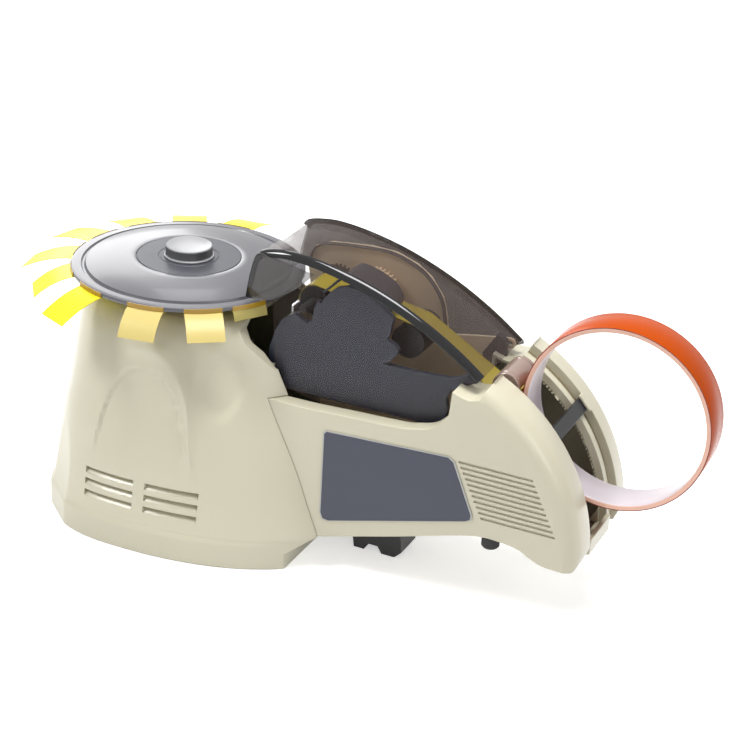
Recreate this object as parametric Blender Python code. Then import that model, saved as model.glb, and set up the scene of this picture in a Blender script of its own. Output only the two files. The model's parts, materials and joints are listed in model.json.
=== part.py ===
"""Electric tape dispenser with a turning carousel, modelled as separate pieces.

Frame: the origin is on the ground under the carousel's axis, +X runs along the
arm to the tape ring, +Y away from the front, +Z up. All lengths are metres.
"""

import math

import bmesh
import bpy
from mathutils import Matrix, Vector

# General fits.
GAP = 0.0003
OVERRUN = 0.010
WALL = 0.0025
SHEET = 0.0020
AXLE_RADIUS = 0.0025
ROUND_SEGMENTS = 28
FINE_SEGMENTS = 60

# Carousel tower.
TOWER_HEIGHT = 0.166
TOWER_HALF_DEPTH = 0.095
TOWER_LEFT = 0.086
TOWER_RIGHT = 0.145
TOWER_FLAT_X = 0.1125
LIP_LOW = 0.012
LIP_HIGH = 0.023
LIP_HIGH_X = 0.130
LEFT_POWER = 2.6
RIGHT_POWER = 2.2
TOWER_POINTS = 64
CAVITY_POINTS = 36
# Height, front and left extent, right extent, each as a share of the tower's own size.
TOWER_SHARES = [
    (0.0, 1.0, 1.0),
    (0.115, 1.0, 1.0),
    (0.132, 0.978, 1.015),
    (0.160, 0.968, 1.010),
    (0.265, 0.940, 0.965),
    (0.375, 0.915, 0.920),
    (0.490, 0.885, 0.862),
    (0.600, 0.845, 0.805),
    (0.700, 0.815, 0.755),
    (0.800, 0.787, 0.700),
    (0.900, 0.752, 0.645),
    (0.955, 0.712, 0.600),
    (0.987, 0.660, 0.552),
    (1.0, 0.600, 0.500),
]
CAVITY_SHARES = [
    (0.0, 1.0, 1.0),
    (0.110, 1.0, 1.0),
    (0.150, 0.968, 1.0),
    (0.175, 0.964, 1.0),
    (0.375, 0.915, 0.920),
    (0.600, 0.845, 0.805),
    (0.800, 0.787, 0.700),
    (0.900, 0.752, 0.645),
    (0.980, 0.665, 0.560),
]
CAVITY_FLAT_SHARES = 3

# Edges of the black opening in the tower's shoulder, beside the hood.
SHOULDER_LEFT_DROP = 0.022
SHOULDER_RIGHT_DROP = 0.031
SHOULDER_LOW_LEFT = TOWER_HEIGHT - SHOULDER_LEFT_DROP
SHOULDER_LOW_RIGHT = TOWER_HEIGHT - SHOULDER_RIGHT_DROP
SHOULDER_STEP_X = 0.086

# Ventilation louvres in the tower's front.
LOUVRE_HEIGHT = 0.0038
LOUVRE_PITCH = 0.0082
LOUVRE_TOP = 0.051
LOUVRE_COUNT = 3
LOUVRE_LENGTH = 0.0385
LOUVRE_LEFT_X = -0.029
LOUVRE_RIGHT_X = 0.018
LOUVRE_DEPTH = 0.022

# Base plate and feet.
BASE_THICKNESS = 0.003
FOOT_RADIUS = 0.008
FOOT_HEIGHT = 0.002
FOOT_X = 0.054
FOOT_Y = 0.058

# Arm: two hollow lobes beside the slot for the tape ring.
ARM_LEFT = 0.079
ARM_RIGHT = 0.310
ARM_LOW = 0.012
ARM_HIGH = 0.162
ARM_HALF_WIDTH = 0.049
SLOT_HALF_WIDTH = 0.020
ARC_RADIUS = 0.1255
ARC_PROUD = 0.0005
ARC_X = ARM_RIGHT + ARC_PROUD - ARC_RADIUS
ARC_Z = 0.046
ARC_FIRST_DEG = 3.0
ARC_LAST_DEG = 63.5
ARC_STEPS = 20
GROOVE_DEPTH = 0.0055
RIB_DEPTH = 0.0035
PLATE_SETBACK = 0.0090
GROOVE_RADIUS = ARC_RADIUS - GROOVE_DEPTH
RIB_RADIUS = ARC_RADIUS - RIB_DEPTH
PLATE_RADIUS = ARC_RADIUS - PLATE_SETBACK
RIM_INNER_Y = 0.036
RIB_OUTER_Y = 0.028
RIB_INNER_Y = 0.0226
LEDGE_INNER_Y = 0.0383
POCKET_OPEN_X = 0.2122
ARM_BOTTOM_SHARES = [
    (0.0, 0.003), (0.108, 0.030), (0.221, 0.073), (0.355, 0.133), (0.476, 0.187),
    (0.658, 0.273), (0.723, 0.293), (0.775, 0.293), (0.831, 0.280), (0.866, 0.253),
    (0.900, 0.233), (0.935, 0.227), (0.991, 0.227),
]
ARM_TOP_SHARES = [
    (0.701, 0.993), (0.684, 0.933), (0.649, 0.920), (0.602, 0.940), (0.597, 0.827),
    (0.576, 0.787), (0.545, 0.747), (0.502, 0.727), (0.450, 0.713), (0.299, 0.703),
    (0.156, 0.693), (0.0, 0.693),
]
FLOOR_LIP = 0.004

# Grooves and name plate on the arm's near face.
GRIP_COUNT = 11
GRIP_TOP = 0.1065
GRIP_PITCH = 0.0036
GRIP_HEIGHT = 0.0015
GRIP_DEPTH = 0.0010
GRIP_LENGTH = 0.051
GRIP_FIRST_X = 0.226
GRIP_SHIFT = 0.0018
NAME_PLATE_THICKNESS = 0.0008
NAME_PLATE_SHARES = [
    (0.229, 0.613), (0.222, 0.600), (0.2215, 0.200), (0.229, 0.172), (0.248, 0.168),
    (0.676, 0.352), (0.690, 0.364), (0.692, 0.387), (0.627, 0.622), (0.610, 0.640),
]

# Support foot and bumpers under the arm.
SUPPORT_HALF_WIDTH = 0.012
SUPPORT_LEFT = 0.139
SUPPORT_LENGTH = 0.037
SUPPORT_TOOTH = 0.005
SUPPORT_SHARES = [
    (0.0, 1.6), (0.03, 0.0), (0.24, 0.0), (0.33, 1.0), (0.51, 1.0), (0.60, 0.0),
    (0.86, 0.0), (1.0, 1.0), (0.96, 3.6),
]
BUMPER_X = 0.250
BUMPER_Y = 0.042
BUMPER_RADIUS = 0.006
BUMPER_HEIGHT = 0.0078
BUMPER_SHARE = 0.85

# Smoked hood over the tape feed.
HOOD_LEFT = 0.065
HOOD_RIGHT = 0.233
HOOD_ABOVE_TOWER = 0.050
HOOD_BELOW_TOWER = 0.050
HOOD_LOW = TOWER_HEIGHT - HOOD_BELOW_TOWER
HOOD_HIGH = TOWER_HEIGHT + HOOD_ABOVE_TOWER
HOOD_HALF_WIDTH = 0.0375
HOOD_WALL = 0.0022
HOOD_ROUNDING = 0.0045
HOOD_INNER_SHARES = [(0.0, 0.60), (0.30, 0.18), (0.70, 0.0)]
HOOD_PIVOT_INSET = 0.007
HOOD_PIVOT_SHARE = 0.42
HOOD_PIVOT_X = HOOD_RIGHT - HOOD_PIVOT_INSET
HOOD_PIVOT_Z = HOOD_LOW + HOOD_PIVOT_SHARE * (HOOD_HIGH - HOOD_LOW)
HOOD_PEG_RADIUS = 0.0018
HOOD_TOP_SHARES = [
    (0.030, 0.930), (0.053, 0.970), (0.124, 0.995), (0.201, 1.000), (0.320, 0.975),
    (0.462, 0.920), (0.600, 0.840), (0.744, 0.730), (0.886, 0.590), (1.000, 0.450),
]
HOOD_BOTTOM_SHARES = [
    (0.970, 0.385), (0.910, 0.385), (0.872, 0.335), (0.869, 0.150), (0.827, 0.095),
    (0.774, 0.062), (0.702, 0.042), (0.494, 0.028), (0.298, 0.010), (0.137, 0.080),
    (0.113, 0.655), (0.066, 0.632), (0.012, 0.632), (0.0, 0.655),
]

# Tape feed between two side plates.
FEEDER_PLATE_Y = 0.0295
FEEDER_LEFT = 0.079
FEEDER_LENGTH = 0.147
FEEDER_UNDER_HOOD = 0.006
FEEDER_HEIGHT = HOOD_HIGH - FEEDER_UNDER_HOOD
EAR_RADIUS = 0.0038
EAR_STEPS = 4
PLATE_RISE = 0.0030
FEEDER_RIGHT_SHARE = 0.898
FEEDER_NECK_SHARE = 0.915
FEEDER_SHOULDER_SHARE = 0.710
FEEDER_FAR_SHARES = [
    (0.850, 0.755), (0.700, 0.735),
    (0.690, 0.790), (0.665, 0.855), (0.600, 0.915), (0.530, 0.948), (0.422, 0.973),
    (0.299, 0.976), (0.102, 0.962), (0.020, 0.938), (-0.020, 0.880), (0.020, 0.700),
    (0.075, 0.640),
]
FEEDER_NEAR_SHARES = [
    (0.880, 0.745), (0.700, 0.730),
    (0.57, 0.722), (0.42, 0.735), (0.36, 0.800), (0.32, 0.880), (0.24, 0.905),
    (0.13, 0.905), (0.06, 0.880), (0.03, 0.800), (0.030, 0.700), (0.075, 0.640),
]
TAPE_CENTRE_Y = -0.0015
TAPE_WIDTH = 0.025
TAPE_THICKNESS = 0.0006
FEED_ROLLER_X = 0.103
FEED_ROLLER_DROP = 0.039
FEED_ROLLER_Z = HOOD_HIGH - FEED_ROLLER_DROP
FEED_ROLLER_RADIUS = 0.010
IDLER_X = 0.172
IDLER_DROP = 0.052
IDLER_Z = HOOD_HIGH - IDLER_DROP
IDLER_RADIUS = 0.0115
ROLLER_HALF_LENGTH = 0.0155
GEAR_MODULE = 0.001
GEAR_LOW_Y = 0.0200
GEAR_WIDTH = 0.0050
TOOTH_ROOT_SHARE = 0.261
TOOTH_TIP_SHARE = 0.1116
ADDENDUM_SHARE = 0.70
DEDENDUM_SHARE = 1.15
FEED_GEAR_TEETH = 24
DRIVE_GEAR_TEETH = 32
FEED_PINION_TEETH = 20
FEED_MOTOR_RADIUS = 0.0135
FEED_MOTOR_CHAMFER_SHARE = 0.2
FEED_MOTOR_FACE_Y = 0.016
BLADE_X = 0.0870
BLADE_THICKNESS = 0.0012
BLADE_HALF_WIDTH = 0.015
BLADE_DROP = 0.058
BLADE_LOW = HOOD_HIGH - BLADE_DROP
BLADE_HEIGHT = 0.013
BLADE_TOOTH = 0.0012
BLADE_TOOTH_COUNT = 12
ANVIL_THICKNESS = 0.0040
ANVIL_DROP = 0.066
ANVIL_LOW = HOOD_HIGH - ANVIL_DROP
ANVIL_HEIGHT = 0.016
TAPE_TAIL = 0.006
TAIL_DEG = 255.0

# Tape ring and the rollers that carry it.
RING_X = 0.3153
RING_Z = 0.1432
RING_RADIUS = 0.0624
RING_WALL = 0.0034
RING_WIDTH = 0.027
GUIDE_ROLLER_X = 0.2414
GUIDE_ROLLER_Z = 0.1490
GUIDE_ROLLER_RADIUS = 0.0092
SUPPORT_ROLLER_RADIUS = 0.0090
SUPPORT_ROLLER_DEG = 216.0
SUPPORT_ROLLER_TEETH = 24
SERRATION_SHARE = 0.90
SLOT_PLATE_LEFT = 0.2262

# Slide bar across the slot.
BAR_DEG = 42.0
BAR_THICKNESS = 0.0030
BAR_HEIGHT = 0.010
BAR_HALF_LENGTH = 0.034
CLIP_THICKNESS = 0.0026
CLIP_HEIGHT = 0.014
CLIP_LENGTH = 0.0115

# Carousel.
DISC_RADIUS = 0.080
DISC_LIFT = 0.0104
DISC_RIM_Z = TOWER_HEIGHT + DISC_LIFT
DISC_CONE_RISE = 0.0054
DISC_THICKNESS = 0.0030
DISC_GROOVE = 0.0009
DISC_RADIUS_SHARES = (0.84, 0.915, 0.905, 0.885, 0.875)
LABEL_RADIUS = 0.039
LABEL_THICKNESS = 0.0007
LABEL_BORE = 0.008
KNOB_RADIUS = 0.017
KNOB_HEIGHT = 0.0078
KNOB_DISH = 0.0020
KNOB_SIDE_SHARES = [(1.0, 0.0), (1.0, 0.12), (0.95, 0.16), (0.93, 0.80), (0.90, 0.96), (0.86, 1.0)]
KNOB_DISH_SHARES = [(0.80, 0.25), (0.60, 0.75), (0.35, 1.0)]
SHAFT_RADIUS = 0.004
BRACKET_DROP = 0.048
BRACKET_TOP = TOWER_HEIGHT - BRACKET_DROP
SHAFT_BELOW_BRACKET = 0.012
SHAFT_LOW = BRACKET_TOP - SHAFT_BELOW_BRACKET
BOSS_RADIUS = 0.012
BEARING_RADIUS = 0.009
BEARING_FLANGE = 0.014
BEARING_FLANGE_THICKNESS = 0.0017
BEARING_DEPTH = 0.006
CAROUSEL_GEAR_TEETH = 36
CAROUSEL_PINION_TEETH = 12
CAROUSEL_GEAR_WIDTH = 0.006

# Tape strips under the rim: angle, reach past the rim, and slope at the rim and at the end.
STRIP_DEGS = [96.0, 119.5, 143.0, 168.0, 192.0, 216.0, 245.0, 279.0, 306.5, 329.5]
STRIP_REACH = 0.045
STRIP_REACH_SHARES = [0.95, 0.95, 1.0, 0.97, 0.93, 0.72, 0.72, 0.52, 0.54, 0.42]
STRIP_FIRST_DEGS = [0.0, 0.0, 0.0, 0.0, 2.0, 10.0, 10.0, 12.0, 8.0, 50.0]
STRIP_LAST_DEGS = [20.0, 20.0, 22.0, 22.0, 30.0, 46.0, 36.0, 56.0, 44.0, 80.0]
STRIP_CURL_SHARE = 0.8
STRIP_GRIP = 0.016
STRIP_THICKNESS = 0.0006
STRIP_STEPS = 8

# Carousel drive inside the tower.
BRACKET_HALF_LENGTH = 0.038
BRACKET_HALF_WIDTH = 0.025
BRACKET_SHEET = 0.003
BRACKET_FLANGE = 0.010
CAROUSEL_MOTOR_RADIUS = 0.009
CAROUSEL_MOTOR_LENGTH = 0.040
MOTOR_SHAFT_RADIUS = 0.0015
BOARD_LEFT = 0.050
BOARD_LENGTH = 0.054
BOARD_HALF_WIDTH = 0.038
BOARD_THICKNESS = 0.0016
POST_HEIGHT = 0.0050
POST_RADIUS = 0.0030
POST_INSET = 0.005

# Controls and power inlet on the tower's back.
PANEL_HALF_LENGTH = 0.032
PANEL_LOW = 0.027
PANEL_HEIGHT = 0.026
PANEL_INSET = 0.0020
PANEL_FACE_Y = TOWER_HALF_DEPTH - PANEL_INSET
PANEL_THICKNESS = 0.005
CONTROL_SPACING = 0.020
SWITCH_RADIUS = 0.0067
SWITCH_WIDTH = 0.0094
SWITCH_TILT_DEG = 9.0
SWITCH_PROUD = 0.0030
SWITCH_DIP_SHARE = 0.62
SWITCH_RISE_SHARE = 0.25
DIAL_RADIUS = 0.008
DIAL_HEIGHT = 0.0075
DIAL_SHAFT_RADIUS = 0.0025
DIAL_TAPER_SHARE = 0.94
DIAL_SIDE_SHARE = 0.85
DIAL_TOP_SHARE = 0.82
DIAL_MARK_SHARE = 0.9
BUTTON_RADIUS = 0.005
BUTTON_PROUD = 0.0030
BUTTON_DEPTH = 0.0070
BUTTON_SIDE_SHARE = 0.7
BUTTON_TOP_SHARE = 0.85
INLET_HALF_LENGTH = 0.011
INLET_LOW = 0.005
INLET_HEIGHT = 0.010
INLET_PROUD = 0.0006
INLET_FACE_Y = TOWER_HALF_DEPTH + INLET_PROUD
INLET_THICKNESS = 0.0075
INLET_SOCKET_HALF_LENGTH = 0.0078
INLET_SOCKET_HEIGHT = 0.0064
INLET_SOCKET_DEPTH = 0.0055


def clear_scene():
    """Remove every object of the scene."""
    for item in list(bpy.data.objects):
        bpy.data.objects.remove(item, do_unlink=True)


def make_material(name, colour, roughness=0.45, metallic=0.0, alpha=1.0):
    """Return a Principled material."""
    material = bpy.data.materials.new(name)
    material.use_nodes = True
    shader = material.node_tree.nodes["Principled BSDF"]
    shader.inputs["Base Color"].default_value = (*colour, 1.0)
    shader.inputs["Roughness"].default_value = roughness
    shader.inputs["Metallic"].default_value = metallic
    shader.inputs["Alpha"].default_value = alpha
    material.diffuse_color = (*colour, alpha)
    return material


def finish_mesh(name, mesh_builder, material, place=(0, 0, 0)):
    """Turn a bmesh in world coordinates into an object whose origin is at place."""
    bmesh.ops.remove_doubles(mesh_builder, verts=mesh_builder.verts, dist=GAP / 30)
    bmesh.ops.recalc_face_normals(mesh_builder, faces=mesh_builder.faces)
    bmesh.ops.translate(mesh_builder, verts=mesh_builder.verts, vec=-Vector(place))
    mesh = bpy.data.meshes.new(name)
    mesh_builder.to_mesh(mesh)
    mesh_builder.free()
    mesh.shade_smooth()
    mesh.set_sharp_from_angle(angle=math.radians(32))
    item = bpy.data.objects.new(name, mesh)
    item.location = place
    if material is not None:
        mesh.materials.append(material)
    bpy.context.scene.collection.objects.link(item)
    return item


def loft(name, sections, material, place=(0, 0, 0)):
    """Skin closed loops of equal length and cap both ends."""
    builder = bmesh.new()
    rings = [[builder.verts.new(point) for point in section] for section in sections]
    for lower, upper in zip(rings, rings[1:]):
        for index in range(len(lower)):
            following = (index + 1) % len(lower)
            builder.faces.new((lower[index], lower[following], upper[following], upper[index]))
    builder.faces.new(list(reversed(rings[0])))
    builder.faces.new(rings[-1])
    return finish_mesh(name, builder, material, place)


def prism_xz(name, outline, y_low, y_high, material, place=(0, 0, 0)):
    """Extrude an outline of the XZ plane along Y."""
    low = [(x, y_low, z) for x, z in outline]
    high = [(x, y_high, z) for x, z in outline]
    return loft(name, [low, high], material, place)


def prism_yz(name, outline, x_low, x_high, material, place=(0, 0, 0)):
    """Extrude an outline of the YZ plane along X."""
    low = [(x_low, y, z) for y, z in outline]
    high = [(x_high, y, z) for y, z in outline]
    return loft(name, [low, high], material, place)


def prism_xy(name, outline, z_low, z_high, material, place=(0, 0, 0)):
    """Extrude an outline of the XY plane along Z."""
    low = [(x, y, z_low) for x, y in outline]
    high = [(x, y, z_high) for x, y in outline]
    return loft(name, [low, high], material, place)


def block(name, x_span, y_span, z_span, material, place=(0, 0, 0)):
    """Make a box from its three spans."""
    corners = [(x_span[0], y_span[0]), (x_span[1], y_span[0]),
               (x_span[1], y_span[1]), (x_span[0], y_span[1])]
    return prism_xy(name, corners, z_span[0], z_span[1], material, place)


def lathe(name, profile, material, centre=(0, 0, 0), axis="Z", segments=ROUND_SEGMENTS):
    """Turn a closed profile of (radius, height) points about the axis through centre."""
    builder = bmesh.new()
    rings = []
    for radius, height in profile:
        if radius < GAP / 10:
            rings.append([builder.verts.new((0, 0, height))])
            continue
        ring = []
        for index in range(segments):
            angle = math.tau * index / segments
            ring.append(builder.verts.new((radius * math.cos(angle), radius * math.sin(angle), height)))
        rings.append(ring)
    pairs = list(zip(rings, rings[1:] + rings[:1]))
    for first, second in pairs:
        if len(first) == 1 and len(second) == 1:
            continue
        for index in range(segments):
            following = (index + 1) % segments
            if len(first) == 1:
                corners = (first[0], second[index], second[following])
            elif len(second) == 1:
                corners = (first[index], first[following], second[0])
            else:
                corners = (first[index], first[following], second[following], second[index])
            builder.faces.new(corners)
    if axis == "Y":
        bmesh.ops.rotate(builder, verts=builder.verts, matrix=Matrix.Rotation(-math.pi / 2, 3, "X"))
    bmesh.ops.translate(builder, verts=builder.verts, vec=Vector(centre))
    return finish_mesh(name, builder, material, centre)


def pin_profile(radius, low, high):
    """Profile of a plain round pin."""
    return [(0, low), (radius, low), (radius, high), (0, high)]


def tube_profile(inner, outer, low, high):
    """Profile of a plain tube."""
    return [(inner, low), (outer, low), (outer, high), (inner, high)]


def cutter(item):
    """Mark an object as a construction aid."""
    item.hide_render = True
    item.display_type = "WIRE"
    return item


def combine(item, tool, operation="DIFFERENCE"):
    """Add an exact Boolean with a construction aid."""
    cutter(tool)
    change = item.modifiers.new(tool.name, "BOOLEAN")
    change.operation = operation
    change.solver = "EXACT"
    change.object = tool
    return item


def scaled(shares, x_low, x_high, z_low, z_high):
    """Turn shares into points of a rectangle."""
    return [(x_low + across * (x_high - x_low), z_low + up * (z_high - z_low)) for across, up in shares]


def circle(x, y, radius, segments=ROUND_SEGMENTS):
    """Points of a circle."""
    turns = [math.tau * index / segments for index in range(segments)]
    return [(x + radius * math.cos(turn), y + radius * math.sin(turn)) for turn in turns]


def arc(x, y, radius, first_deg, last_deg, steps):
    """Points of an arc from the first to the last angle."""
    points = []
    for index in range(steps + 1):
        turn = math.radians(first_deg + (last_deg - first_deg) * index / steps)
        points.append((x + radius * math.cos(turn), y + radius * math.sin(turn)))
    return points


def shifted_line(points, distance):
    """Shift an open line of points to its left side by the distance."""
    moved = []
    for index, point in enumerate(points):
        before = points[max(index - 1, 0)]
        after = points[min(index + 1, len(points) - 1)]
        into = Vector((point[0] - before[0], point[1] - before[1]))
        out = Vector((after[0] - point[0], after[1] - point[1]))
        if into.length == 0:
            into = out.copy()
        if out.length == 0:
            out = into.copy()
        into.normalize()
        out.normalize()
        normal_in = Vector((-into.y, into.x))
        normal_out = Vector((-out.y, out.x))
        half = normal_in + normal_out
        half.normalize()
        reach = distance / max(half.dot(normal_out), 0.5)
        moved.append((point[0] + half.x * reach, point[1] + half.y * reach))
    return moved


def tower_section(height, front, left, right, points, flat_x=None):
    """One level of the tower: a superellipse with unlike left and right halves."""
    section = []
    for index in range(points):
        turn = math.tau * index / points
        power = RIGHT_POWER if math.cos(turn) >= 0 else LEFT_POWER
        reach = right if math.cos(turn) >= 0 else left
        x = math.copysign(reach * abs(math.cos(turn)) ** (2 / power), math.cos(turn))
        y = math.copysign(front * abs(math.sin(turn)) ** (2 / power), math.sin(turn))
        if flat_x is not None:
            x = min(x, flat_x)
        section.append((x, y, height))
    return section


def gear_outline(teeth, centre_x, centre_y, phase_deg=0.0):
    """Outline of a spur gear; phase 0 puts a tooth on the +X side."""
    pitch_radius = GEAR_MODULE * teeth / 2
    tip = pitch_radius + ADDENDUM_SHARE * GEAR_MODULE
    root = pitch_radius - DEDENDUM_SHARE * GEAR_MODULE
    step = 360.0 / teeth
    points = []
    for tooth in range(teeth):
        middle = phase_deg + step * tooth
        for radius, share in ((root, -TOOTH_ROOT_SHARE), (tip, -TOOTH_TIP_SHARE),
                              (tip, TOOTH_TIP_SHARE), (root, TOOTH_ROOT_SHARE)):
            turn = math.radians(middle + step * share)
            points.append((centre_x + radius * math.cos(turn), centre_y + radius * math.sin(turn)))
    return points


MATERIALS = {}


def make_materials():
    """Make every material of the dispenser."""
    table = {
        "ivory_plastic": ((0.56, 0.53, 0.42), 0.42, 0.0, 1.0),
        "dark_plastic": ((0.03, 0.03, 0.035), 0.45, 0.0, 1.0),
        "grey_plastic": ((0.22, 0.23, 0.25), 0.40, 0.0, 1.0),
        "label_grey": ((0.09, 0.095, 0.11), 0.5, 0.0, 1.0),
        "smoked_plastic": ((0.18, 0.16, 0.14), 0.12, 0.0, 0.75),
        "rubber": ((0.02, 0.02, 0.02), 0.8, 0.0, 1.0),
        "steel": ((0.6, 0.6, 0.62), 0.3, 1.0, 1.0),
        "tan_plate": ((0.45, 0.34, 0.23), 0.5, 0.0, 1.0),
        "yellow_tape": ((0.85, 0.72, 0.03), 0.25, 0.0, 0.85),
        "amber_tape": ((0.50, 0.06, 0.01), 0.12, 0.0, 0.9),
        "plate_blue": ((0.05, 0.055, 0.10), 0.4, 0.0, 1.0),
        "roller_beige": ((0.62, 0.50, 0.42), 0.35, 0.0, 1.0),
        "gear_white": ((0.75, 0.75, 0.72), 0.4, 0.0, 1.0),
        "board_green": ((0.03, 0.18, 0.07), 0.5, 0.0, 1.0),
    }
    for name, (colour, roughness, metallic, alpha) in table.items():
        MATERIALS[name] = make_material(name, colour, roughness, metallic, alpha)


def own_material(kind, name):
    """Copy a kind of material for one piece."""
    copy = MATERIALS[kind].copy()
    copy.name = name + "_finish"
    return copy


def arm_bottom():
    """Lower edge of the arm from left to right."""
    return scaled(ARM_BOTTOM_SHARES, ARM_LEFT, ARM_RIGHT, ARM_LOW, ARM_HIGH)


def arm_outline():
    """Side outline of one lobe of the arm."""
    end = arc(ARC_X, ARC_Z, ARC_RADIUS, ARC_FIRST_DEG, ARC_LAST_DEG, ARC_STEPS)
    top = scaled(ARM_TOP_SHARES, ARM_LEFT, ARM_RIGHT, ARM_LOW, ARM_HIGH)
    return arm_bottom() + end + top


def arm_pocket_outline(radius, inset):
    """Outline of the hollow inside one lobe, running out of its left end."""
    bottom = shifted_line(arm_bottom()[:-1], inset)
    end = arc(ARC_X, ARC_Z, radius, ARC_FIRST_DEG + 4, ARC_LAST_DEG - 3, ARC_STEPS)
    top = scaled(ARM_TOP_SHARES, ARM_LEFT, ARM_RIGHT, ARM_LOW, ARM_HIGH)
    upper = shifted_line(top[1:], inset)
    upper[0] = (upper[0][0], upper[0][1] - inset / 2)
    left = [(ARM_LEFT - OVERRUN, upper[-1][1]), (ARM_LEFT - OVERRUN, bottom[0][1])]
    return bottom + end + upper + left


def ring_sector(inner, outer, first_deg, last_deg, steps):
    """Outline of a sector between two radii about the arm's arc centre."""
    low = arc(ARC_X, ARC_Z, inner, first_deg, last_deg, steps)
    high = arc(ARC_X, ARC_Z, outer, first_deg, last_deg, steps)
    return low + list(reversed(high))


def make_tower():
    """Moulded tower housing with its louvres, arm notch and shoulder opening."""
    sections = [
        tower_section(TOWER_HEIGHT * up, TOWER_HALF_DEPTH * wide, TOWER_LEFT * wide,
                      TOWER_RIGHT * right, TOWER_POINTS)
        for up, wide, right in TOWER_SHARES
    ]
    tower = loft("tower_housing", sections, own_material("ivory_plastic", "tower_housing"))
    inner = []
    for index, (up, wide, right) in enumerate(CAVITY_SHARES):
        flat = TOWER_FLAT_X - WALL if index < CAVITY_FLAT_SHARES else None
        height = TOWER_HEIGHT * up if index else -OVERRUN
        inner.append(tower_section(height, TOWER_HALF_DEPTH * wide - WALL, TOWER_LEFT * wide - WALL,
                                   TOWER_RIGHT * right - WALL, CAVITY_POINTS, flat))
    combine(tower, loft("tower_cavity_cut", inner, None))

    # The skirt ends in a flat wall below the lip that flares out to the arm.
    lip_slope = (LIP_HIGH - LIP_LOW) / (LIP_HIGH_X - TOWER_FLAT_X)
    lip_end_x = TOWER_RIGHT + 2 * OVERRUN
    lip = [(TOWER_FLAT_X, -OVERRUN), (lip_end_x, -OVERRUN),
           (lip_end_x, LIP_LOW + lip_slope * (lip_end_x - TOWER_FLAT_X)), (TOWER_FLAT_X, LIP_LOW)]
    depth = TOWER_HALF_DEPTH + OVERRUN
    combine(tower, prism_xz("lip_cut", lip, -depth, depth, None))

    # Room for the arm shells, and for the hood and the tape's way out above them.
    bottom = [point for point in arm_bottom() if point[0] < lip_end_x]
    low_line = shifted_line(bottom, -GAP)
    ledge = ARM_LOW + ARM_TOP_SHARES[-1][1] * (ARM_HIGH - ARM_LOW) + GAP
    notch = [(ARM_LEFT - GAP, low_line[0][1])] + low_line[1:]
    notch += [(lip_end_x, low_line[-1][1]), (lip_end_x, ledge), (ARM_LEFT - GAP, ledge)]
    combine(tower, prism_xz("arm_notch_cut", notch, -ARM_HALF_WIDTH - GAP, ARM_HALF_WIDTH + GAP, None))
    shoulder = [(HOOD_LEFT + HOOD_WALL, SHOULDER_LOW_LEFT), (SHOULDER_STEP_X, SHOULDER_LOW_RIGHT),
                (SHOULDER_STEP_X, ledge - GAP), (lip_end_x, ledge - GAP),
                (lip_end_x, TOWER_HEIGHT + OVERRUN), (HOOD_LEFT + HOOD_WALL, TOWER_HEIGHT + OVERRUN)]
    side = HOOD_HALF_WIDTH + 2 * GAP
    combine(tower, prism_xz("shoulder_cut", shoulder, -side, side, None))

    combine(tower, lathe("bearing_hole_cut", pin_profile(BEARING_RADIUS + GAP, -OVERRUN, OVERRUN), None,
                         (0, 0, TOWER_HEIGHT)))
    front = -TOWER_HALF_DEPTH - OVERRUN
    for column, left in enumerate((LOUVRE_LEFT_X, LOUVRE_RIGHT_X)):
        for row in range(LOUVRE_COUNT):
            top = LOUVRE_TOP - LOUVRE_PITCH * row
            slot = block(f"louvre_cut_{column}_{row}", (left, left + LOUVRE_LENGTH),
                         (front, front + OVERRUN + LOUVRE_DEPTH), (top - LOUVRE_HEIGHT, top), None)
            combine(tower, slot)
    panel_room = (-PANEL_HALF_LENGTH - GAP, PANEL_HALF_LENGTH + GAP)
    combine(tower, block("panel_hole_cut", panel_room, (TOWER_HALF_DEPTH - LOUVRE_DEPTH, depth),
                         (PANEL_LOW - GAP, PANEL_LOW + PANEL_HEIGHT + GAP), None))
    inlet_room = (-INLET_HALF_LENGTH - GAP, INLET_HALF_LENGTH + GAP)
    combine(tower, block("inlet_hole_cut", inlet_room, (TOWER_HALF_DEPTH - LOUVRE_DEPTH, depth),
                         (INLET_LOW - GAP, INLET_LOW + INLET_HEIGHT + GAP), None))
    return tower


def make_base():
    """Base plate, its rubber feet and the posts of the circuit board."""
    inset = WALL + GAP
    section = tower_section(0, TOWER_HALF_DEPTH - inset, TOWER_LEFT - inset, TOWER_RIGHT - inset,
                            CAVITY_POINTS, TOWER_FLAT_X - inset)
    outline = [(x, y) for x, y, _ in section]
    plate = prism_xy("base_plate", outline, 0, BASE_THICKNESS, own_material("dark_plastic", "base_plate"))
    for index, (across, along) in enumerate(((-1, -1), (1, -1), (1, 1), (-1, 1)), start=1):
        centre = (across * FOOT_X, along * FOOT_Y, 0)
        hole = lathe(f"foot_hole_cut_{index}", pin_profile(FOOT_RADIUS + GAP, -OVERRUN, FOOT_HEIGHT + GAP),
                     None, centre)
        combine(plate, hole)
        lathe(f"rubber_foot_{index}", pin_profile(FOOT_RADIUS, 0, FOOT_HEIGHT),
              own_material("rubber", f"rubber_foot_{index}"), centre)
    for index, (across, along) in enumerate(((0, -1), (1, -1), (1, 1), (0, 1))):
        x = BOARD_LEFT + POST_INSET + across * (BOARD_LENGTH - 2 * POST_INSET)
        y = along * (BOARD_HALF_WIDTH - POST_INSET)
        post = lathe(f"post_add_{index}", pin_profile(POST_RADIUS, BASE_THICKNESS / 2, BASE_THICKNESS + POST_HEIGHT),
                     None, (x, y, 0), segments=12)
        combine(plate, post, "UNION")
    board_low = BASE_THICKNESS + POST_HEIGHT + GAP
    block("circuit_board", (BOARD_LEFT, BOARD_LEFT + BOARD_LENGTH), (-BOARD_HALF_WIDTH, BOARD_HALF_WIDTH),
          (board_low, board_low + BOARD_THICKNESS), own_material("board_green", "circuit_board"))


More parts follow.
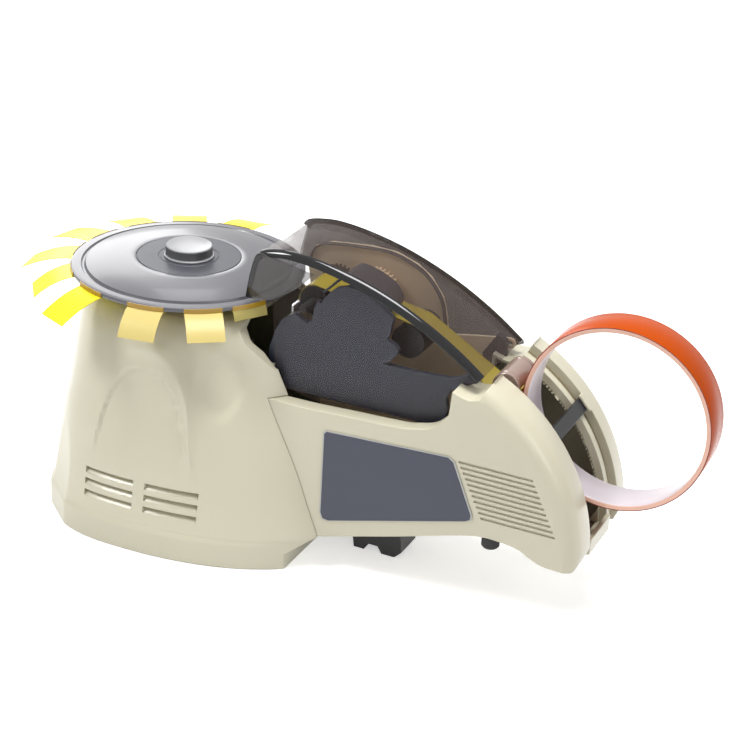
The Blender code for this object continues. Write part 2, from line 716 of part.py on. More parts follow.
def make_carousel_drive():
    """Bracket, motor, pinion and bearing that carry and turn the carousel."""
    low = BASE_THICKNESS + GAP
    outer = BRACKET_HALF_LENGTH
    inner = outer - BRACKET_SHEET
    flange = outer + BRACKET_FLANGE
    outline = [(-flange, low), (-inner, low), (-inner, BRACKET_TOP - BRACKET_SHEET),
               (inner, BRACKET_TOP - BRACKET_SHEET), (inner, low), (flange, low),
               (flange, low + BRACKET_SHEET), (outer, low + BRACKET_SHEET), (outer, BRACKET_TOP),
               (-outer, BRACKET_TOP), (-outer, low + BRACKET_SHEET), (-flange, low + BRACKET_SHEET)]
    bracket = prism_xz("carousel_frame", outline, -BRACKET_HALF_WIDTH, BRACKET_HALF_WIDTH,
                       own_material("steel", "carousel_frame"))
    combine(bracket, lathe("shaft_hole_cut", pin_profile(SHAFT_RADIUS + GAP, -OVERRUN, OVERRUN), None,
                           (0, 0, BRACKET_TOP), segments=24))
    motor_x = -GEAR_MODULE * (CAROUSEL_GEAR_TEETH + CAROUSEL_PINION_TEETH) / 2
    combine(bracket, lathe("motor_hole_cut", pin_profile(2 * MOTOR_SHAFT_RADIUS, -OVERRUN, OVERRUN), None,
                           (motor_x, 0, BRACKET_TOP), segments=24))
    motor_top = BRACKET_TOP - BRACKET_SHEET - GAP
    gear_low = BRACKET_TOP + GAP
    motor = [(0, motor_top - CAROUSEL_MOTOR_LENGTH), (CAROUSEL_MOTOR_RADIUS, motor_top - CAROUSEL_MOTOR_LENGTH),
             (CAROUSEL_MOTOR_RADIUS, motor_top), (MOTOR_SHAFT_RADIUS, motor_top),
             (MOTOR_SHAFT_RADIUS, gear_low + CAROUSEL_GEAR_WIDTH / 2), (0, gear_low + CAROUSEL_GEAR_WIDTH / 2)]
    lathe("carousel_motor", motor, own_material("steel", "carousel_motor"), (motor_x, 0, 0), segments=24)
    pinion = prism_xy("carousel_pinion", gear_outline(CAROUSEL_PINION_TEETH, motor_x, 0, 180 / CAROUSEL_PINION_TEETH),
                      gear_low, gear_low + CAROUSEL_GEAR_WIDTH, own_material("gear_white", "carousel_pinion"),
                      (motor_x, 0, gear_low))
    combine(pinion, lathe("pinion_bore_cut", pin_profile(MOTOR_SHAFT_RADIUS + GAP, gear_low - OVERRUN,
                                                         gear_low + CAROUSEL_GEAR_WIDTH / 2 + GAP),
                          None, (motor_x, 0, 0), segments=16))
    flange_low = TOWER_HEIGHT + GAP
    bearing = [(SHAFT_RADIUS + GAP, TOWER_HEIGHT - BEARING_DEPTH), (BEARING_RADIUS, TOWER_HEIGHT - BEARING_DEPTH),
               (BEARING_RADIUS, flange_low), (BEARING_FLANGE, flange_low),
               (BEARING_FLANGE, flange_low + BEARING_FLANGE_THICKNESS),
               (SHAFT_RADIUS + GAP, flange_low + BEARING_FLANGE_THICKNESS)]
    lathe("carousel_bearing", bearing, own_material("dark_plastic", "carousel_bearing"), segments=32)


def make_carousel():
    """Disc, label disc, knob, shaft and gear, which turn together."""
    boss_low = TOWER_HEIGHT + GAP + BEARING_FLANGE_THICKNESS + GAP
    top = DISC_RIM_Z + DISC_CONE_RISE
    seat = top - DISC_GROOVE
    bore = SHAFT_RADIUS + GAP
    rim = DISC_RADIUS
    under = DISC_RIM_Z - DISC_THICKNESS
    edge = DISC_GROOVE
    under_share, outer_share, groove_outer_share, groove_inner_share, inner_share = DISC_RADIUS_SHARES
    disc = [
        (bore, boss_low), (BOSS_RADIUS, boss_low), (BOSS_RADIUS, seat - DISC_THICKNESS),
        (LABEL_RADIUS, seat - DISC_THICKNESS), (rim * under_share, under), (rim - edge, under), (rim, under + edge),
        (rim, DISC_RIM_Z - edge), (rim - edge, DISC_RIM_Z), (rim * outer_share, DISC_RIM_Z + edge / 2),
        (rim * groove_outer_share, DISC_RIM_Z - edge), (rim * groove_inner_share, DISC_RIM_Z - edge),
        (rim * inner_share, DISC_RIM_Z + edge),
        (LABEL_RADIUS + 2 * edge, top), (LABEL_RADIUS + GAP, top), (LABEL_RADIUS + GAP, seat), (bore, seat),
    ]
    lathe("carousel_disc", disc, own_material("grey_plastic", "carousel_disc"), segments=FINE_SEGMENTS)
    label_low = seat + GAP
    label_top = label_low + LABEL_THICKNESS
    lathe("carousel_label_disc", tube_profile(LABEL_BORE, LABEL_RADIUS, label_low, label_top),
          own_material("label_grey", "carousel_label_disc"), segments=FINE_SEGMENTS)
    knob_low = label_top + GAP
    knob_top = knob_low + KNOB_HEIGHT
    socket_top = knob_top - KNOB_DISH - 3 * GAP
    knob = [(bore, knob_low)]
    knob += [(KNOB_RADIUS * across, knob_low + KNOB_HEIGHT * up) for across, up in KNOB_SIDE_SHARES]
    knob += [(KNOB_RADIUS * across, knob_top - KNOB_DISH * down) for across, down in KNOB_DISH_SHARES]
    knob += [(0, knob_top - KNOB_DISH), (0, socket_top), (bore, socket_top)]
    lathe("carousel_knob", knob, own_material("grey_plastic", "carousel_knob"), segments=36)
    lathe("carousel_shaft", pin_profile(SHAFT_RADIUS, SHAFT_LOW, socket_top - GAP),
          own_material("steel", "carousel_shaft"), segments=24)
    gear_low = BRACKET_TOP + GAP
    gear = prism_xy("carousel_gear", gear_outline(CAROUSEL_GEAR_TEETH, 0, 0, 0), gear_low,
                    gear_low + CAROUSEL_GEAR_WIDTH, own_material("gear_white", "carousel_gear"))
    combine(gear, lathe("gear_bore_cut", pin_profile(bore, gear_low - OVERRUN, gear_low + OVERRUN), None,
                        segments=24))


def make_strips():
    """Tape strips that stick to the underside of the rim and curl down."""
    start = DISC_RADIUS - STRIP_GRIP
    top = DISC_RIM_Z - DISC_THICKNESS - GAP
    for index, turn_deg in enumerate(STRIP_DEGS):
        reach = STRIP_REACH * STRIP_REACH_SHARES[index]
        first = math.radians(STRIP_FIRST_DEGS[index])
        last = math.radians(STRIP_LAST_DEGS[index])
        line = [(start, top), (DISC_RADIUS, top)]
        for step in range(1, STRIP_STEPS + 1):
            share = (step - 0.5) / STRIP_STEPS
            slope = first + (last - first) * share ** STRIP_CURL_SHARE
            across = line[-1][0] + reach / STRIP_STEPS * math.cos(slope)
            line.append((across, line[-1][1] - reach / STRIP_STEPS * math.sin(slope)))
        under = shifted_line(line, -STRIP_THICKNESS)
        outline = under + list(reversed(line))
        name = f"tape_strip_{index + 1:02d}"
        strip = prism_xz(name, outline, -TAPE_WIDTH / 2, TAPE_WIDTH / 2, own_material("yellow_tape", name))
        strip.data.transform(Matrix.Rotation(math.radians(turn_deg), 4, "Z"))


def make_arm():
    """Arm lobes, floor, slot plates, name plate, foot and bumpers."""
    outline = arm_outline()
    spans = {"near": -1, "far": 1}
    for name, side in spans.items():
        def span(low, high):
            return sorted((side * low, side * high))

        low, high = span(SLOT_HALF_WIDTH, ARM_HALF_WIDTH)
        shell = prism_xz(f"arm_{name}_shell", outline, low, high, own_material("ivory_plastic", f"arm_{name}_shell"))
        inside = SLOT_HALF_WIDTH - OVERRUN
        low, high = span(inside, ARM_HALF_WIDTH - WALL)
        shallow = arm_pocket_outline(PLATE_RADIUS + GAP, WALL)
        combine(shell, prism_xz(f"arm_{name}_pocket_cut", shallow, low, high, None))
        low, high = span(inside, LEDGE_INNER_Y)
        room = [(ARM_LEFT - OVERRUN, HOOD_LOW - OVERRUN), (POCKET_OPEN_X, HOOD_LOW - OVERRUN),
                (POCKET_OPEN_X, HOOD_HIGH), (ARM_LEFT - OVERRUN, HOOD_HIGH)]
        combine(shell, prism_xz(f"arm_{name}_top_cut", room, low, high, None))
        beyond = ARC_RADIUS + OVERRUN
        for label, first, last, radius in (("groove", RIB_OUTER_Y, RIM_INNER_Y, GROOVE_RADIUS),
                                           ("rib", RIB_INNER_Y - GAP, RIB_OUTER_Y, RIB_RADIUS),
                                           ("edge", inside, RIB_INNER_Y, PLATE_RADIUS + GAP)):
            low, high = span(first, last)
            sector = ring_sector(radius, beyond, ARC_FIRST_DEG - 8, ARC_LAST_DEG + 1, ARC_STEPS)
            combine(shell, prism_xz(f"arm_{name}_{label}_cut", sector, low, high, None))
        if side < 0:
            face = -ARM_HALF_WIDTH
            for row in range(GRIP_COUNT):
                left = GRIP_FIRST_X + GRIP_SHIFT * row
                top = GRIP_TOP - GRIP_PITCH * row
                slot = block(f"grip_cut_{row}", (left, left + GRIP_LENGTH), (face - OVERRUN, face + GRIP_DEPTH),
                             (top - GRIP_HEIGHT, top), None)
                combine(shell, slot)

        low, high = span(inside, SLOT_HALF_WIDTH + SHEET + GAP)
        combine(shell, prism_xz(f"arm_{name}_axle_cut", circle(GUIDE_ROLLER_X, GUIDE_ROLLER_Z, AXLE_RADIUS + GAP, 16),
                                low, high, None))

        # The slot plate closes the lobe towards the ring and carries the roller shafts.
        low, high = span(SLOT_HALF_WIDTH, SLOT_HALF_WIDTH + SHEET)
        pocket = [point for point in arm_pocket_outline(PLATE_RADIUS, WALL + GAP)
                  if point[0] >= SLOT_PLATE_LEFT]
        pocket = sorted_loop(pocket)
        plate = prism_xz(f"slot_plate_{name}", pocket, low, high, own_material("smoked_plastic", f"slot_plate_{name}"))
        for label, x, z in (("guide", GUIDE_ROLLER_X, GUIDE_ROLLER_Z), ("support", *support_roller_centre())):
            hole = prism_xz(f"{label}_{name}_hole_cut", circle(x, z, AXLE_RADIUS + GAP, 16), low - OVERRUN,
                            high + OVERRUN, None)
            combine(plate, hole)
        low, high = side * BUMPER_Y, BUMPER_RADIUS
        edges = [line_height(arm_bottom(), BUMPER_X + way * BUMPER_RADIUS) for way in (-1, 0, 1)]
        top = min(edges) - GAP
        bumper = [(0, top - BUMPER_HEIGHT), (high * BUMPER_SHARE, top - BUMPER_HEIGHT),
                  (high, top - BUMPER_HEIGHT * BUMPER_SHARE), (high, top), (0, top)]
        lathe(f"arm_bumper_{name}", bumper, own_material("rubber", f"arm_bumper_{name}"), (BUMPER_X, low, 0),
              segments=24)

    bottom = arm_bottom()
    upper = shifted_line(bottom, WALL)
    end_x = ARM_RIGHT
    lip_top = bottom[-1][1] + FLOOR_LIP
    floor = bottom + [(end_x, lip_top), (end_x - FLOOR_LIP, lip_top)]
    floor += list(reversed([point for point in upper if point[0] < end_x - 2 * FLOOR_LIP]))
    room = SLOT_HALF_WIDTH - GAP
    prism_xz("arm_floor", floor, -room, room, own_material("ivory_plastic", "arm_floor"))

    plate = scaled(NAME_PLATE_SHARES, ARM_LEFT, ARM_RIGHT, ARM_LOW, ARM_HIGH)
    face = -ARM_HALF_WIDTH - GAP
    prism_xz("name_plate", plate, face - NAME_PLATE_THICKNESS, face, own_material("plate_blue", "name_plate"))

    foot = [(SUPPORT_LEFT + across * SUPPORT_LENGTH, up * SUPPORT_TOOTH) for across, up in SUPPORT_SHARES]
    last = foot[-1][0]
    foot += [(last, line_height(bottom, last) - 2 * GAP), (foot[0][0], line_height(bottom, foot[0][0]) - 2 * GAP)]
    prism_xz("support_foot", foot, -SUPPORT_HALF_WIDTH, SUPPORT_HALF_WIDTH, own_material("dark_plastic", "support_foot"))


def sorted_loop(points):
    """Order the points of a convex outline about their middle."""
    middle_x = sum(x for x, _ in points) / len(points)
    middle_z = sum(z for _, z in points) / len(points)
    return sorted(points, key=lambda point: math.atan2(point[1] - middle_z, point[0] - middle_x))


def line_height(points, x):
    """Height of a line of points at a given x."""
    for first, second in zip(points, points[1:]):
        if first[0] <= x <= second[0]:
            share = (x - first[0]) / (second[0] - first[0])
            return first[1] + share * (second[1] - first[1])
    return points[-1][1]


def support_roller_centre():
    """Centre of the serrated roller that the ring rests against."""
    turn = math.radians(SUPPORT_ROLLER_DEG)
    reach = RING_RADIUS + SUPPORT_ROLLER_RADIUS + GAP
    return RING_X + reach * math.cos(turn), RING_Z + reach * math.sin(turn)


def make_ring():
    """Tape ring with the rollers beside it and the slide bar through it."""
    half = RING_WIDTH / 2
    lathe("tape_ring", tube_profile(RING_RADIUS - RING_WALL, RING_RADIUS, -half, half),
          own_material("amber_tape", "tape_ring"), (RING_X, TAPE_CENTRE_Y, RING_Z), "Y", FINE_SEGMENTS)
    reach = SLOT_HALF_WIDTH + SHEET
    body = ROLLER_HALF_LENGTH
    guide = [(0, -reach), (AXLE_RADIUS, -reach), (AXLE_RADIUS, -body), (GUIDE_ROLLER_RADIUS, -body),
             (GUIDE_ROLLER_RADIUS, body), (AXLE_RADIUS, body), (AXLE_RADIUS, reach), (0, reach)]
    lathe("guide_roller", guide, own_material("roller_beige", "guide_roller"),
          (GUIDE_ROLLER_X, 0, GUIDE_ROLLER_Z), "Y", 36)
    x, z = support_roller_centre()
    outline = []
    for index in range(SUPPORT_ROLLER_TEETH * 2):
        turn = math.tau * (index + 0.5) / (SUPPORT_ROLLER_TEETH * 2)
        radius = SUPPORT_ROLLER_RADIUS * (1.0 if index % 2 else SERRATION_SHARE)
        outline.append((x + radius * math.cos(turn), z + radius * math.sin(turn)))
    roller = prism_xz("support_roller", outline, -body, body, own_material("dark_plastic", "support_roller"),
                      (x, 0, z))
    combine(roller, prism_xz("support_axle_add", circle(x, z, AXLE_RADIUS, 16), -reach, reach, None), "UNION")

    turn = math.radians(BAR_DEG)
    outward = Vector((math.cos(turn), math.sin(turn)))
    along = Vector((-math.sin(turn), math.cos(turn)))
    centre = Vector((ARC_X, ARC_Z))

    def slab(inner, outer, height):
        corners = []
        for radius, side in ((inner, -1), (outer, -1), (outer, 1), (inner, 1)):
            corners.append(tuple(centre + outward * radius + along * (side * height / 2)))
        return corners

    bar_low = RIB_RADIUS + GAP
    bar_high = bar_low + BAR_THICKNESS
    prism_xz("slide_bar", slab(bar_low, bar_high, BAR_HEIGHT), -BAR_HALF_LENGTH, BAR_HALF_LENGTH,
             own_material("dark_plastic", "slide_bar"), (ARC_X, 0, ARC_Z))
    clip_low = bar_high + GAP
    prism_xz("bar_clip", slab(clip_low, clip_low + CLIP_THICKNESS, CLIP_HEIGHT), BAR_HALF_LENGTH - CLIP_LENGTH,
             BAR_HALF_LENGTH, own_material("ivory_plastic", "bar_clip"), (ARC_X, 0, ARC_Z))


def hood_section(y, drop):
    """Side outline of the hood at one place across its width."""
    top = scaled(HOOD_TOP_SHARES, HOOD_LEFT, HOOD_RIGHT, HOOD_LOW, HOOD_HIGH)
    bottom = scaled(HOOD_BOTTOM_SHARES, HOOD_LEFT, HOOD_RIGHT, HOOD_LOW, HOOD_HIGH)
    lowered = [(x + (drop if index == 0 else 0), z - drop) for index, (x, z) in enumerate(top)]
    return [(x, y, z) for x, z in lowered + bottom]


def make_hood():
    """Smoked hood that hinges at its right end, with a peg on each side."""
    sections = []
    for share_deg in (0, 30, 60, 90):
        turn = math.radians(share_deg)
        sections.append((HOOD_HALF_WIDTH - HOOD_ROUNDING * (1 - math.cos(turn)),
                         HOOD_ROUNDING * (1 - math.sin(turn))))
    loops = [hood_section(-y, drop) for y, drop in sections]
    loops += [hood_section(y, drop) for y, drop in reversed(sections)]
    pivot = (HOOD_PIVOT_X, 0, HOOD_PIVOT_Z)
    hood = loft("hood", loops, own_material("smoked_plastic", "hood"), pivot)

    top = scaled(HOOD_TOP_SHARES, HOOD_LEFT, HOOD_RIGHT, HOOD_LOW, HOOD_HIGH)
    first_z = HOOD_LOW + HOOD_BOTTOM_SHARES[-1][1] * (HOOD_HIGH - HOOD_LOW)
    line = shifted_line([(HOOD_LEFT, first_z)] + top, -HOOD_WALL)
    end_x = line[-1][0]
    loops = []
    inner_sections = [(HOOD_HALF_WIDTH - HOOD_WALL - HOOD_ROUNDING * across, HOOD_ROUNDING * down)
                      for across, down in HOOD_INNER_SHARES]
    ordered = [(-y, drop) for y, drop in inner_sections] + [(y, drop) for y, drop in reversed(inner_sections)]
    for y, drop in ordered:
        points = [(x, y, z - drop) for x, z in line]
        points += [(end_x, y, HOOD_LOW - OVERRUN), (line[0][0], y, HOOD_LOW - OVERRUN)]
        loops.append(points)
    combine(hood, loft("hood_inside_cut", loops, None))
    for name, side in (("near", -1), ("far", 1)):
        span = sorted((side * (FEEDER_PLATE_Y + GAP), side * (HOOD_HALF_WIDTH - HOOD_WALL / 2)))
        peg = prism_xz(f"hood_peg_add_{name}", circle(HOOD_PIVOT_X, HOOD_PIVOT_Z, HOOD_PEG_RADIUS, 16),
                       span[0], span[1], None)
        combine(hood, peg, "UNION")
    return hood


def feeder_plate_outline(shares):
    """Outline of a feeder plate that stands on the arm's floor wall."""
    right = FEEDER_LEFT + FEEDER_RIGHT_SHARE * FEEDER_LENGTH
    upper = [(right, FEEDER_SHOULDER_SHARE * FEEDER_HEIGHT),
             (FEEDER_LEFT + FEEDER_NECK_SHARE * FEEDER_LENGTH, HOOD_PIVOT_Z - EAR_RADIUS)]
    upper += arc(HOOD_PIVOT_X, HOOD_PIVOT_Z, EAR_RADIUS, -90, 90, EAR_STEPS)
    upper += [(FEEDER_LEFT + across * FEEDER_LENGTH, up * FEEDER_HEIGHT) for across, up in shares]
    line = shifted_line(arm_bottom(), PLATE_RISE)
    left = upper[-1][0]
    low = [(left, line_height(line, left))]
    low += [point for point in line if left < point[0] < right]
    low += [(right, line_height(line, right))]
    return low + upper


def make_feeder():
    """Side plates, rollers, gears, motor, cutter and the tape threaded through them."""
    outer = FEEDER_PLATE_Y + SHEET
    far_plate = prism_xz("feeder_far_plate", feeder_plate_outline(FEEDER_FAR_SHARES), FEEDER_PLATE_Y, outer,
                         own_material("tan_plate", "feeder_far_plate"))
    near_plate = prism_xz("feeder_near_plate", feeder_plate_outline(FEEDER_NEAR_SHARES), -outer, -FEEDER_PLATE_Y,
                          own_material("dark_plastic", "feeder_near_plate"))
    drive_x = FEED_ROLLER_X + GEAR_MODULE * (FEED_GEAR_TEETH + DRIVE_GEAR_TEETH) / 2
    motor_z = FEED_ROLLER_Z - GEAR_MODULE * (DRIVE_GEAR_TEETH + FEED_PINION_TEETH) / 2
    for plate, label, holes in (
            (far_plate, "far", ((FEED_ROLLER_X, FEED_ROLLER_Z, AXLE_RADIUS), (IDLER_X, IDLER_Z, AXLE_RADIUS),
                                (drive_x, FEED_ROLLER_Z, AXLE_RADIUS),
                                (HOOD_PIVOT_X, HOOD_PIVOT_Z, HOOD_PEG_RADIUS))),
            (near_plate, "near", ((FEED_ROLLER_X, FEED_ROLLER_Z, AXLE_RADIUS),
                                  (HOOD_PIVOT_X, HOOD_PIVOT_Z, HOOD_PEG_RADIUS)))):
        for index, (x, z, radius) in enumerate(holes):
            reach = outer + OVERRUN
            span = (0, reach) if label == "far" else (-reach, 0)
            combine(plate, prism_xz(f"{label}_plate_hole_cut_{index}", circle(x, z, radius + GAP, 16),
                                    span[0], span[1], None))

    body = ROLLER_HALF_LENGTH
    roller = [(0, -outer), (AXLE_RADIUS, -outer), (AXLE_RADIUS, -body), (FEED_ROLLER_RADIUS, -body),
              (FEED_ROLLER_RADIUS, body), (AXLE_RADIUS, body), (AXLE_RADIUS, outer), (0, outer)]
    feed = lathe("feed_roller", roller, own_material("rubber", "feed_roller"),
                 (FEED_ROLLER_X, 0, FEED_ROLLER_Z), "Y", 36)
    gear_high = GEAR_LOW_Y + GEAR_WIDTH
    gear = prism_xz("feed_gear_add", gear_outline(FEED_GEAR_TEETH, FEED_ROLLER_X, FEED_ROLLER_Z, 0),
                    GEAR_LOW_Y, gear_high, None)
    combine(feed, gear, "UNION")
    drive = prism_xz("drive_gear", gear_outline(DRIVE_GEAR_TEETH, drive_x, FEED_ROLLER_Z,
                                                180 + 180 / DRIVE_GEAR_TEETH),
                     GEAR_LOW_Y, gear_high, own_material("dark_plastic", "drive_gear"),
                     (drive_x, 0, FEED_ROLLER_Z))
    combine(drive, prism_xz("drive_axle_add", circle(drive_x, FEED_ROLLER_Z, AXLE_RADIUS, 16),
                            GEAR_LOW_Y + GEAR_WIDTH / 2, outer, None), "UNION")
    # The drive gear's tooth phase at its lowest point decides the pinion's phase.
    pinion = prism_xz("feed_pinion", gear_outline(FEED_PINION_TEETH, drive_x, motor_z,
                                                  pinion_phase_deg()),
                      GEAR_LOW_Y, gear_high, own_material("gear_white", "feed_pinion"), (drive_x, 0, motor_z))
    combine(pinion, prism_xz("feed_pinion_bore_cut", circle(drive_x, motor_z, MOTOR_SHAFT_RADIUS + GAP, 16),
                             GEAR_LOW_Y - OVERRUN, GEAR_LOW_Y + GEAR_WIDTH / 2 + GAP, None))
    back = -FEEDER_PLATE_Y + GAP
    chamfer = FEED_MOTOR_RADIUS * FEED_MOTOR_CHAMFER_SHARE
    motor = [(0, back), (FEED_MOTOR_RADIUS - chamfer, back), (FEED_MOTOR_RADIUS, back + chamfer),
             (FEED_MOTOR_RADIUS, FEED_MOTOR_FACE_Y), (MOTOR_SHAFT_RADIUS, FEED_MOTOR_FACE_Y),
             (MOTOR_SHAFT_RADIUS, GEAR_LOW_Y + GEAR_WIDTH / 2), (0, GEAR_LOW_Y + GEAR_WIDTH / 2)]
    lathe("feed_motor", motor, own_material("steel", "feed_motor"), (drive_x, 0, motor_z), "Y", 28)
    idler = [(0, -body), (IDLER_RADIUS, -body), (IDLER_RADIUS, body), (AXLE_RADIUS, body), (AXLE_RADIUS, outer),
             (0, outer)]
    lathe("idler_roller", idler, own_material("dark_plastic", "idler_roller"), (IDLER_X, 0, IDLER_Z), "Y", 36)

    room = FEEDER_PLATE_Y - GAP
    anvil_x = BLADE_X + BLADE_THICKNESS + GAP
    block("cutter_anvil", (anvil_x, anvil_x + ANVIL_THICKNESS), (-room, room), (ANVIL_LOW, ANVIL_LOW + ANVIL_HEIGHT),
          own_material("steel", "cutter_anvil"))
    blade = [(-BLADE_HALF_WIDTH, BLADE_LOW), (BLADE_HALF_WIDTH, BLADE_LOW)]
    top = BLADE_LOW + BLADE_HEIGHT
    for tooth in range(BLADE_TOOTH_COUNT + 1):
        y = BLADE_HALF_WIDTH - 2 * BLADE_HALF_WIDTH * tooth / BLADE_TOOTH_COUNT
        blade.append((y, top - BLADE_TOOTH))
        if tooth < BLADE_TOOTH_COUNT:
            blade.append((y - BLADE_HALF_WIDTH / BLADE_TOOTH_COUNT, top))
    prism_yz("cutter_blade", blade, BLADE_X, BLADE_X + BLADE_THICKNESS, own_material("steel", "cutter_blade"),
             (BLADE_X, 0, BLADE_LOW))
    make_threaded_tape()


def pinion_phase_deg():
    """Phase that puts a gap of the feed pinion under the drive gear's lowest tooth place."""
    drive_step = 360.0 / DRIVE_GEAR_TEETH
    drive_phase = 180 + 180 / DRIVE_GEAR_TEETH
    offset = (270 - drive_phase) % drive_step
    share = offset / drive_step
    pinion_step = 360.0 / FEED_PINION_TEETH
    return 90 - pinion_step / 2 + share * pinion_step + pinion_step


def make_threaded_tape():
    """Tape from the ring round the guide roller, over the idler and the feed roller."""
    clear = GAP + TAPE_THICKNESS / 2
    circles = [
        (GUIDE_ROLLER_X, GUIDE_ROLLER_Z, GUIDE_ROLLER_RADIUS + clear, -1),
        (IDLER_X, IDLER_Z, IDLER_RADIUS + clear, 1),
        (FEED_ROLLER_X, FEED_ROLLER_Z, FEED_ROLLER_RADIUS + clear, 1),
    ]
    headings = []
    for first, second in zip(circles, circles[1:]):
        across = second[0] - first[0]
        up = second[1] - first[1]
        offset = second[3] * second[2] - first[3] * first[2]
        headings.append(math.atan2(up, across) % math.tau - math.asin(offset / math.hypot(across, up)))
    turns = [(math.radians(270), headings[0]), (headings[0], headings[1]), (headings[1], math.radians(TAIL_DEG))]
    path = []
    for (x, z, radius, side), (start, end) in zip(circles, turns):
        steps = max(2, round(abs(end - start) / math.radians(18)))
        for step in range(steps + 1):
            heading = start + (end - start) * step / steps
            path.append((x + side * radius * math.sin(heading), z - side * radius * math.cos(heading)))
    tail = math.radians(TAIL_DEG)
    path.append((path[-1][0] + TAPE_TAIL * math.cos(tail), path[-1][1] + TAPE_TAIL * math.sin(tail)))
    left = shifted_line(path, TAPE_THICKNESS / 2)
    right = shifted_line(path, -TAPE_THICKNESS / 2)
    half = TAPE_WIDTH / 2
    prism_xz("feed_tape", left + list(reversed(right)), TAPE_CENTRE_Y - half, TAPE_CENTRE_Y + half,
             own_material("yellow_tape", "feed_tape"))


def make_controls():
    """Control panel with its switch, dial and button, and the power inlet below it."""
    back = PANEL_FACE_Y - PANEL_THICKNESS
    centre_z = PANEL_LOW + PANEL_HEIGHT / 2
    panel = block("control_panel", (-PANEL_HALF_LENGTH, PANEL_HALF_LENGTH), (back, PANEL_FACE_Y),
                  (PANEL_LOW, PANEL_LOW + PANEL_HEIGHT), own_material("dark_plastic", "control_panel"))
    switch_x = -CONTROL_SPACING
    button_x = CONTROL_SPACING
    window = SWITCH_RADIUS + GAP
    combine(panel, block("switch_hole_cut", (switch_x - SWITCH_WIDTH / 2 - GAP, switch_x + SWITCH_WIDTH / 2 + GAP),
                         (back - OVERRUN, PANEL_FACE_Y + OVERRUN), (centre_z - window, centre_z + window), None))
    for name, x, radius in (("dial", 0, DIAL_SHAFT_RADIUS), ("button", button_x, BUTTON_RADIUS)):
        combine(panel, prism_xz(f"{name}_hole_cut", circle(x, centre_z, radius + GAP, 24), back - OVERRUN,
                                PANEL_FACE_Y + OVERRUN, None))
    hinge_y = PANEL_FACE_Y + SWITCH_PROUD - SWITCH_RADIUS
    profile = []
    for index in range(24):
        turn = math.tau * index / 24
        y = hinge_y + SWITCH_RADIUS * math.cos(turn)
        z = centre_z + SWITCH_RADIUS * math.sin(turn)
        depth = SWITCH_RADIUS * (SWITCH_DIP_SHARE + SWITCH_RISE_SHARE * abs(math.sin(turn)))
        profile.append((min(y, hinge_y + depth), z))
    switch = prism_yz("power_switch", profile, switch_x - SWITCH_WIDTH / 2, switch_x + SWITCH_WIDTH / 2,
                      own_material("dark_plastic", "power_switch"), (switch_x, hinge_y, centre_z))
    switch.rotation_euler = (math.radians(-SWITCH_TILT_DEG), 0, 0)
    face = PANEL_FACE_Y + GAP
    dial = [(0, back), (DIAL_SHAFT_RADIUS, back), (DIAL_SHAFT_RADIUS, face), (DIAL_RADIUS, face),
            (DIAL_RADIUS * DIAL_TAPER_SHARE, face + DIAL_HEIGHT * DIAL_SIDE_SHARE),
            (DIAL_RADIUS * DIAL_TOP_SHARE, face + DIAL_HEIGHT),
            (0, face + DIAL_HEIGHT)]
    knob = lathe("length_dial", dial, own_material("dark_plastic", "length_dial"), (0, 0, centre_z), "Y", 28)
    combine(knob, block("dial_mark_cut", (-DIAL_RADIUS / 12, DIAL_RADIUS / 12),
                        (face + DIAL_HEIGHT * DIAL_MARK_SHARE, face + 2 * DIAL_HEIGHT),
                        (centre_z, centre_z + 2 * DIAL_RADIUS), None))
    button = [(0, PANEL_FACE_Y - BUTTON_DEPTH), (BUTTON_RADIUS, PANEL_FACE_Y - BUTTON_DEPTH),
              (BUTTON_RADIUS, PANEL_FACE_Y + BUTTON_PROUD * BUTTON_SIDE_SHARE),
              (BUTTON_RADIUS * BUTTON_TOP_SHARE, PANEL_FACE_Y + BUTTON_PROUD),
              (0, PANEL_FACE_Y + BUTTON_PROUD)]
    lathe("feed_button", button, own_material("grey_plastic", "feed_button"), (button_x, 0, centre_z), "Y", 24)

    inlet_z = INLET_LOW + INLET_HEIGHT / 2
    inlet = block("power_inlet", (-INLET_HALF_LENGTH, INLET_HALF_LENGTH), (INLET_FACE_Y - INLET_THICKNESS, INLET_FACE_Y),
                  (INLET_LOW, INLET_LOW + INLET_HEIGHT), own_material("dark_plastic", "power_inlet"))
    end = INLET_SOCKET_HEIGHT / 2
    socket = arc(INLET_SOCKET_HALF_LENGTH - end, inlet_z, end, -90, 90, 8)
    socket += arc(-INLET_SOCKET_HALF_LENGTH + end, inlet_z, end, 90, 270, 8)
    combine(inlet, prism_xz("inlet_socket_cut", socket, INLET_FACE_Y - INLET_SOCKET_DEPTH, INLET_FACE_Y + OVERRUN,
                            None))


def main():
    """Build the whole dispenser."""
    clear_scene()
    make_materials()
    make_tower()
    make_base()
    make_carousel_drive()
    make_carousel()
    make_strips()
    make_arm()
    make_ring()
    make_hood()
    make_feeder()
    make_controls()


if __name__ == "__main__":
    main()
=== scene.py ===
"""Dressed model of an electric carousel tape dispenser.

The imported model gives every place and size. This script adds the moulded
surfaces, the films and the finishes, all in metres in the same frame:
+X along the arm, +Y to the back, +Z up, origin under the carousel's axis.
"""

import json
import logging
import math
from dataclasses import dataclass
from enum import Enum
from typing import Callable, Iterable, Optional, Sequence

import bmesh
import bpy
from mathutils import Matrix, Vector


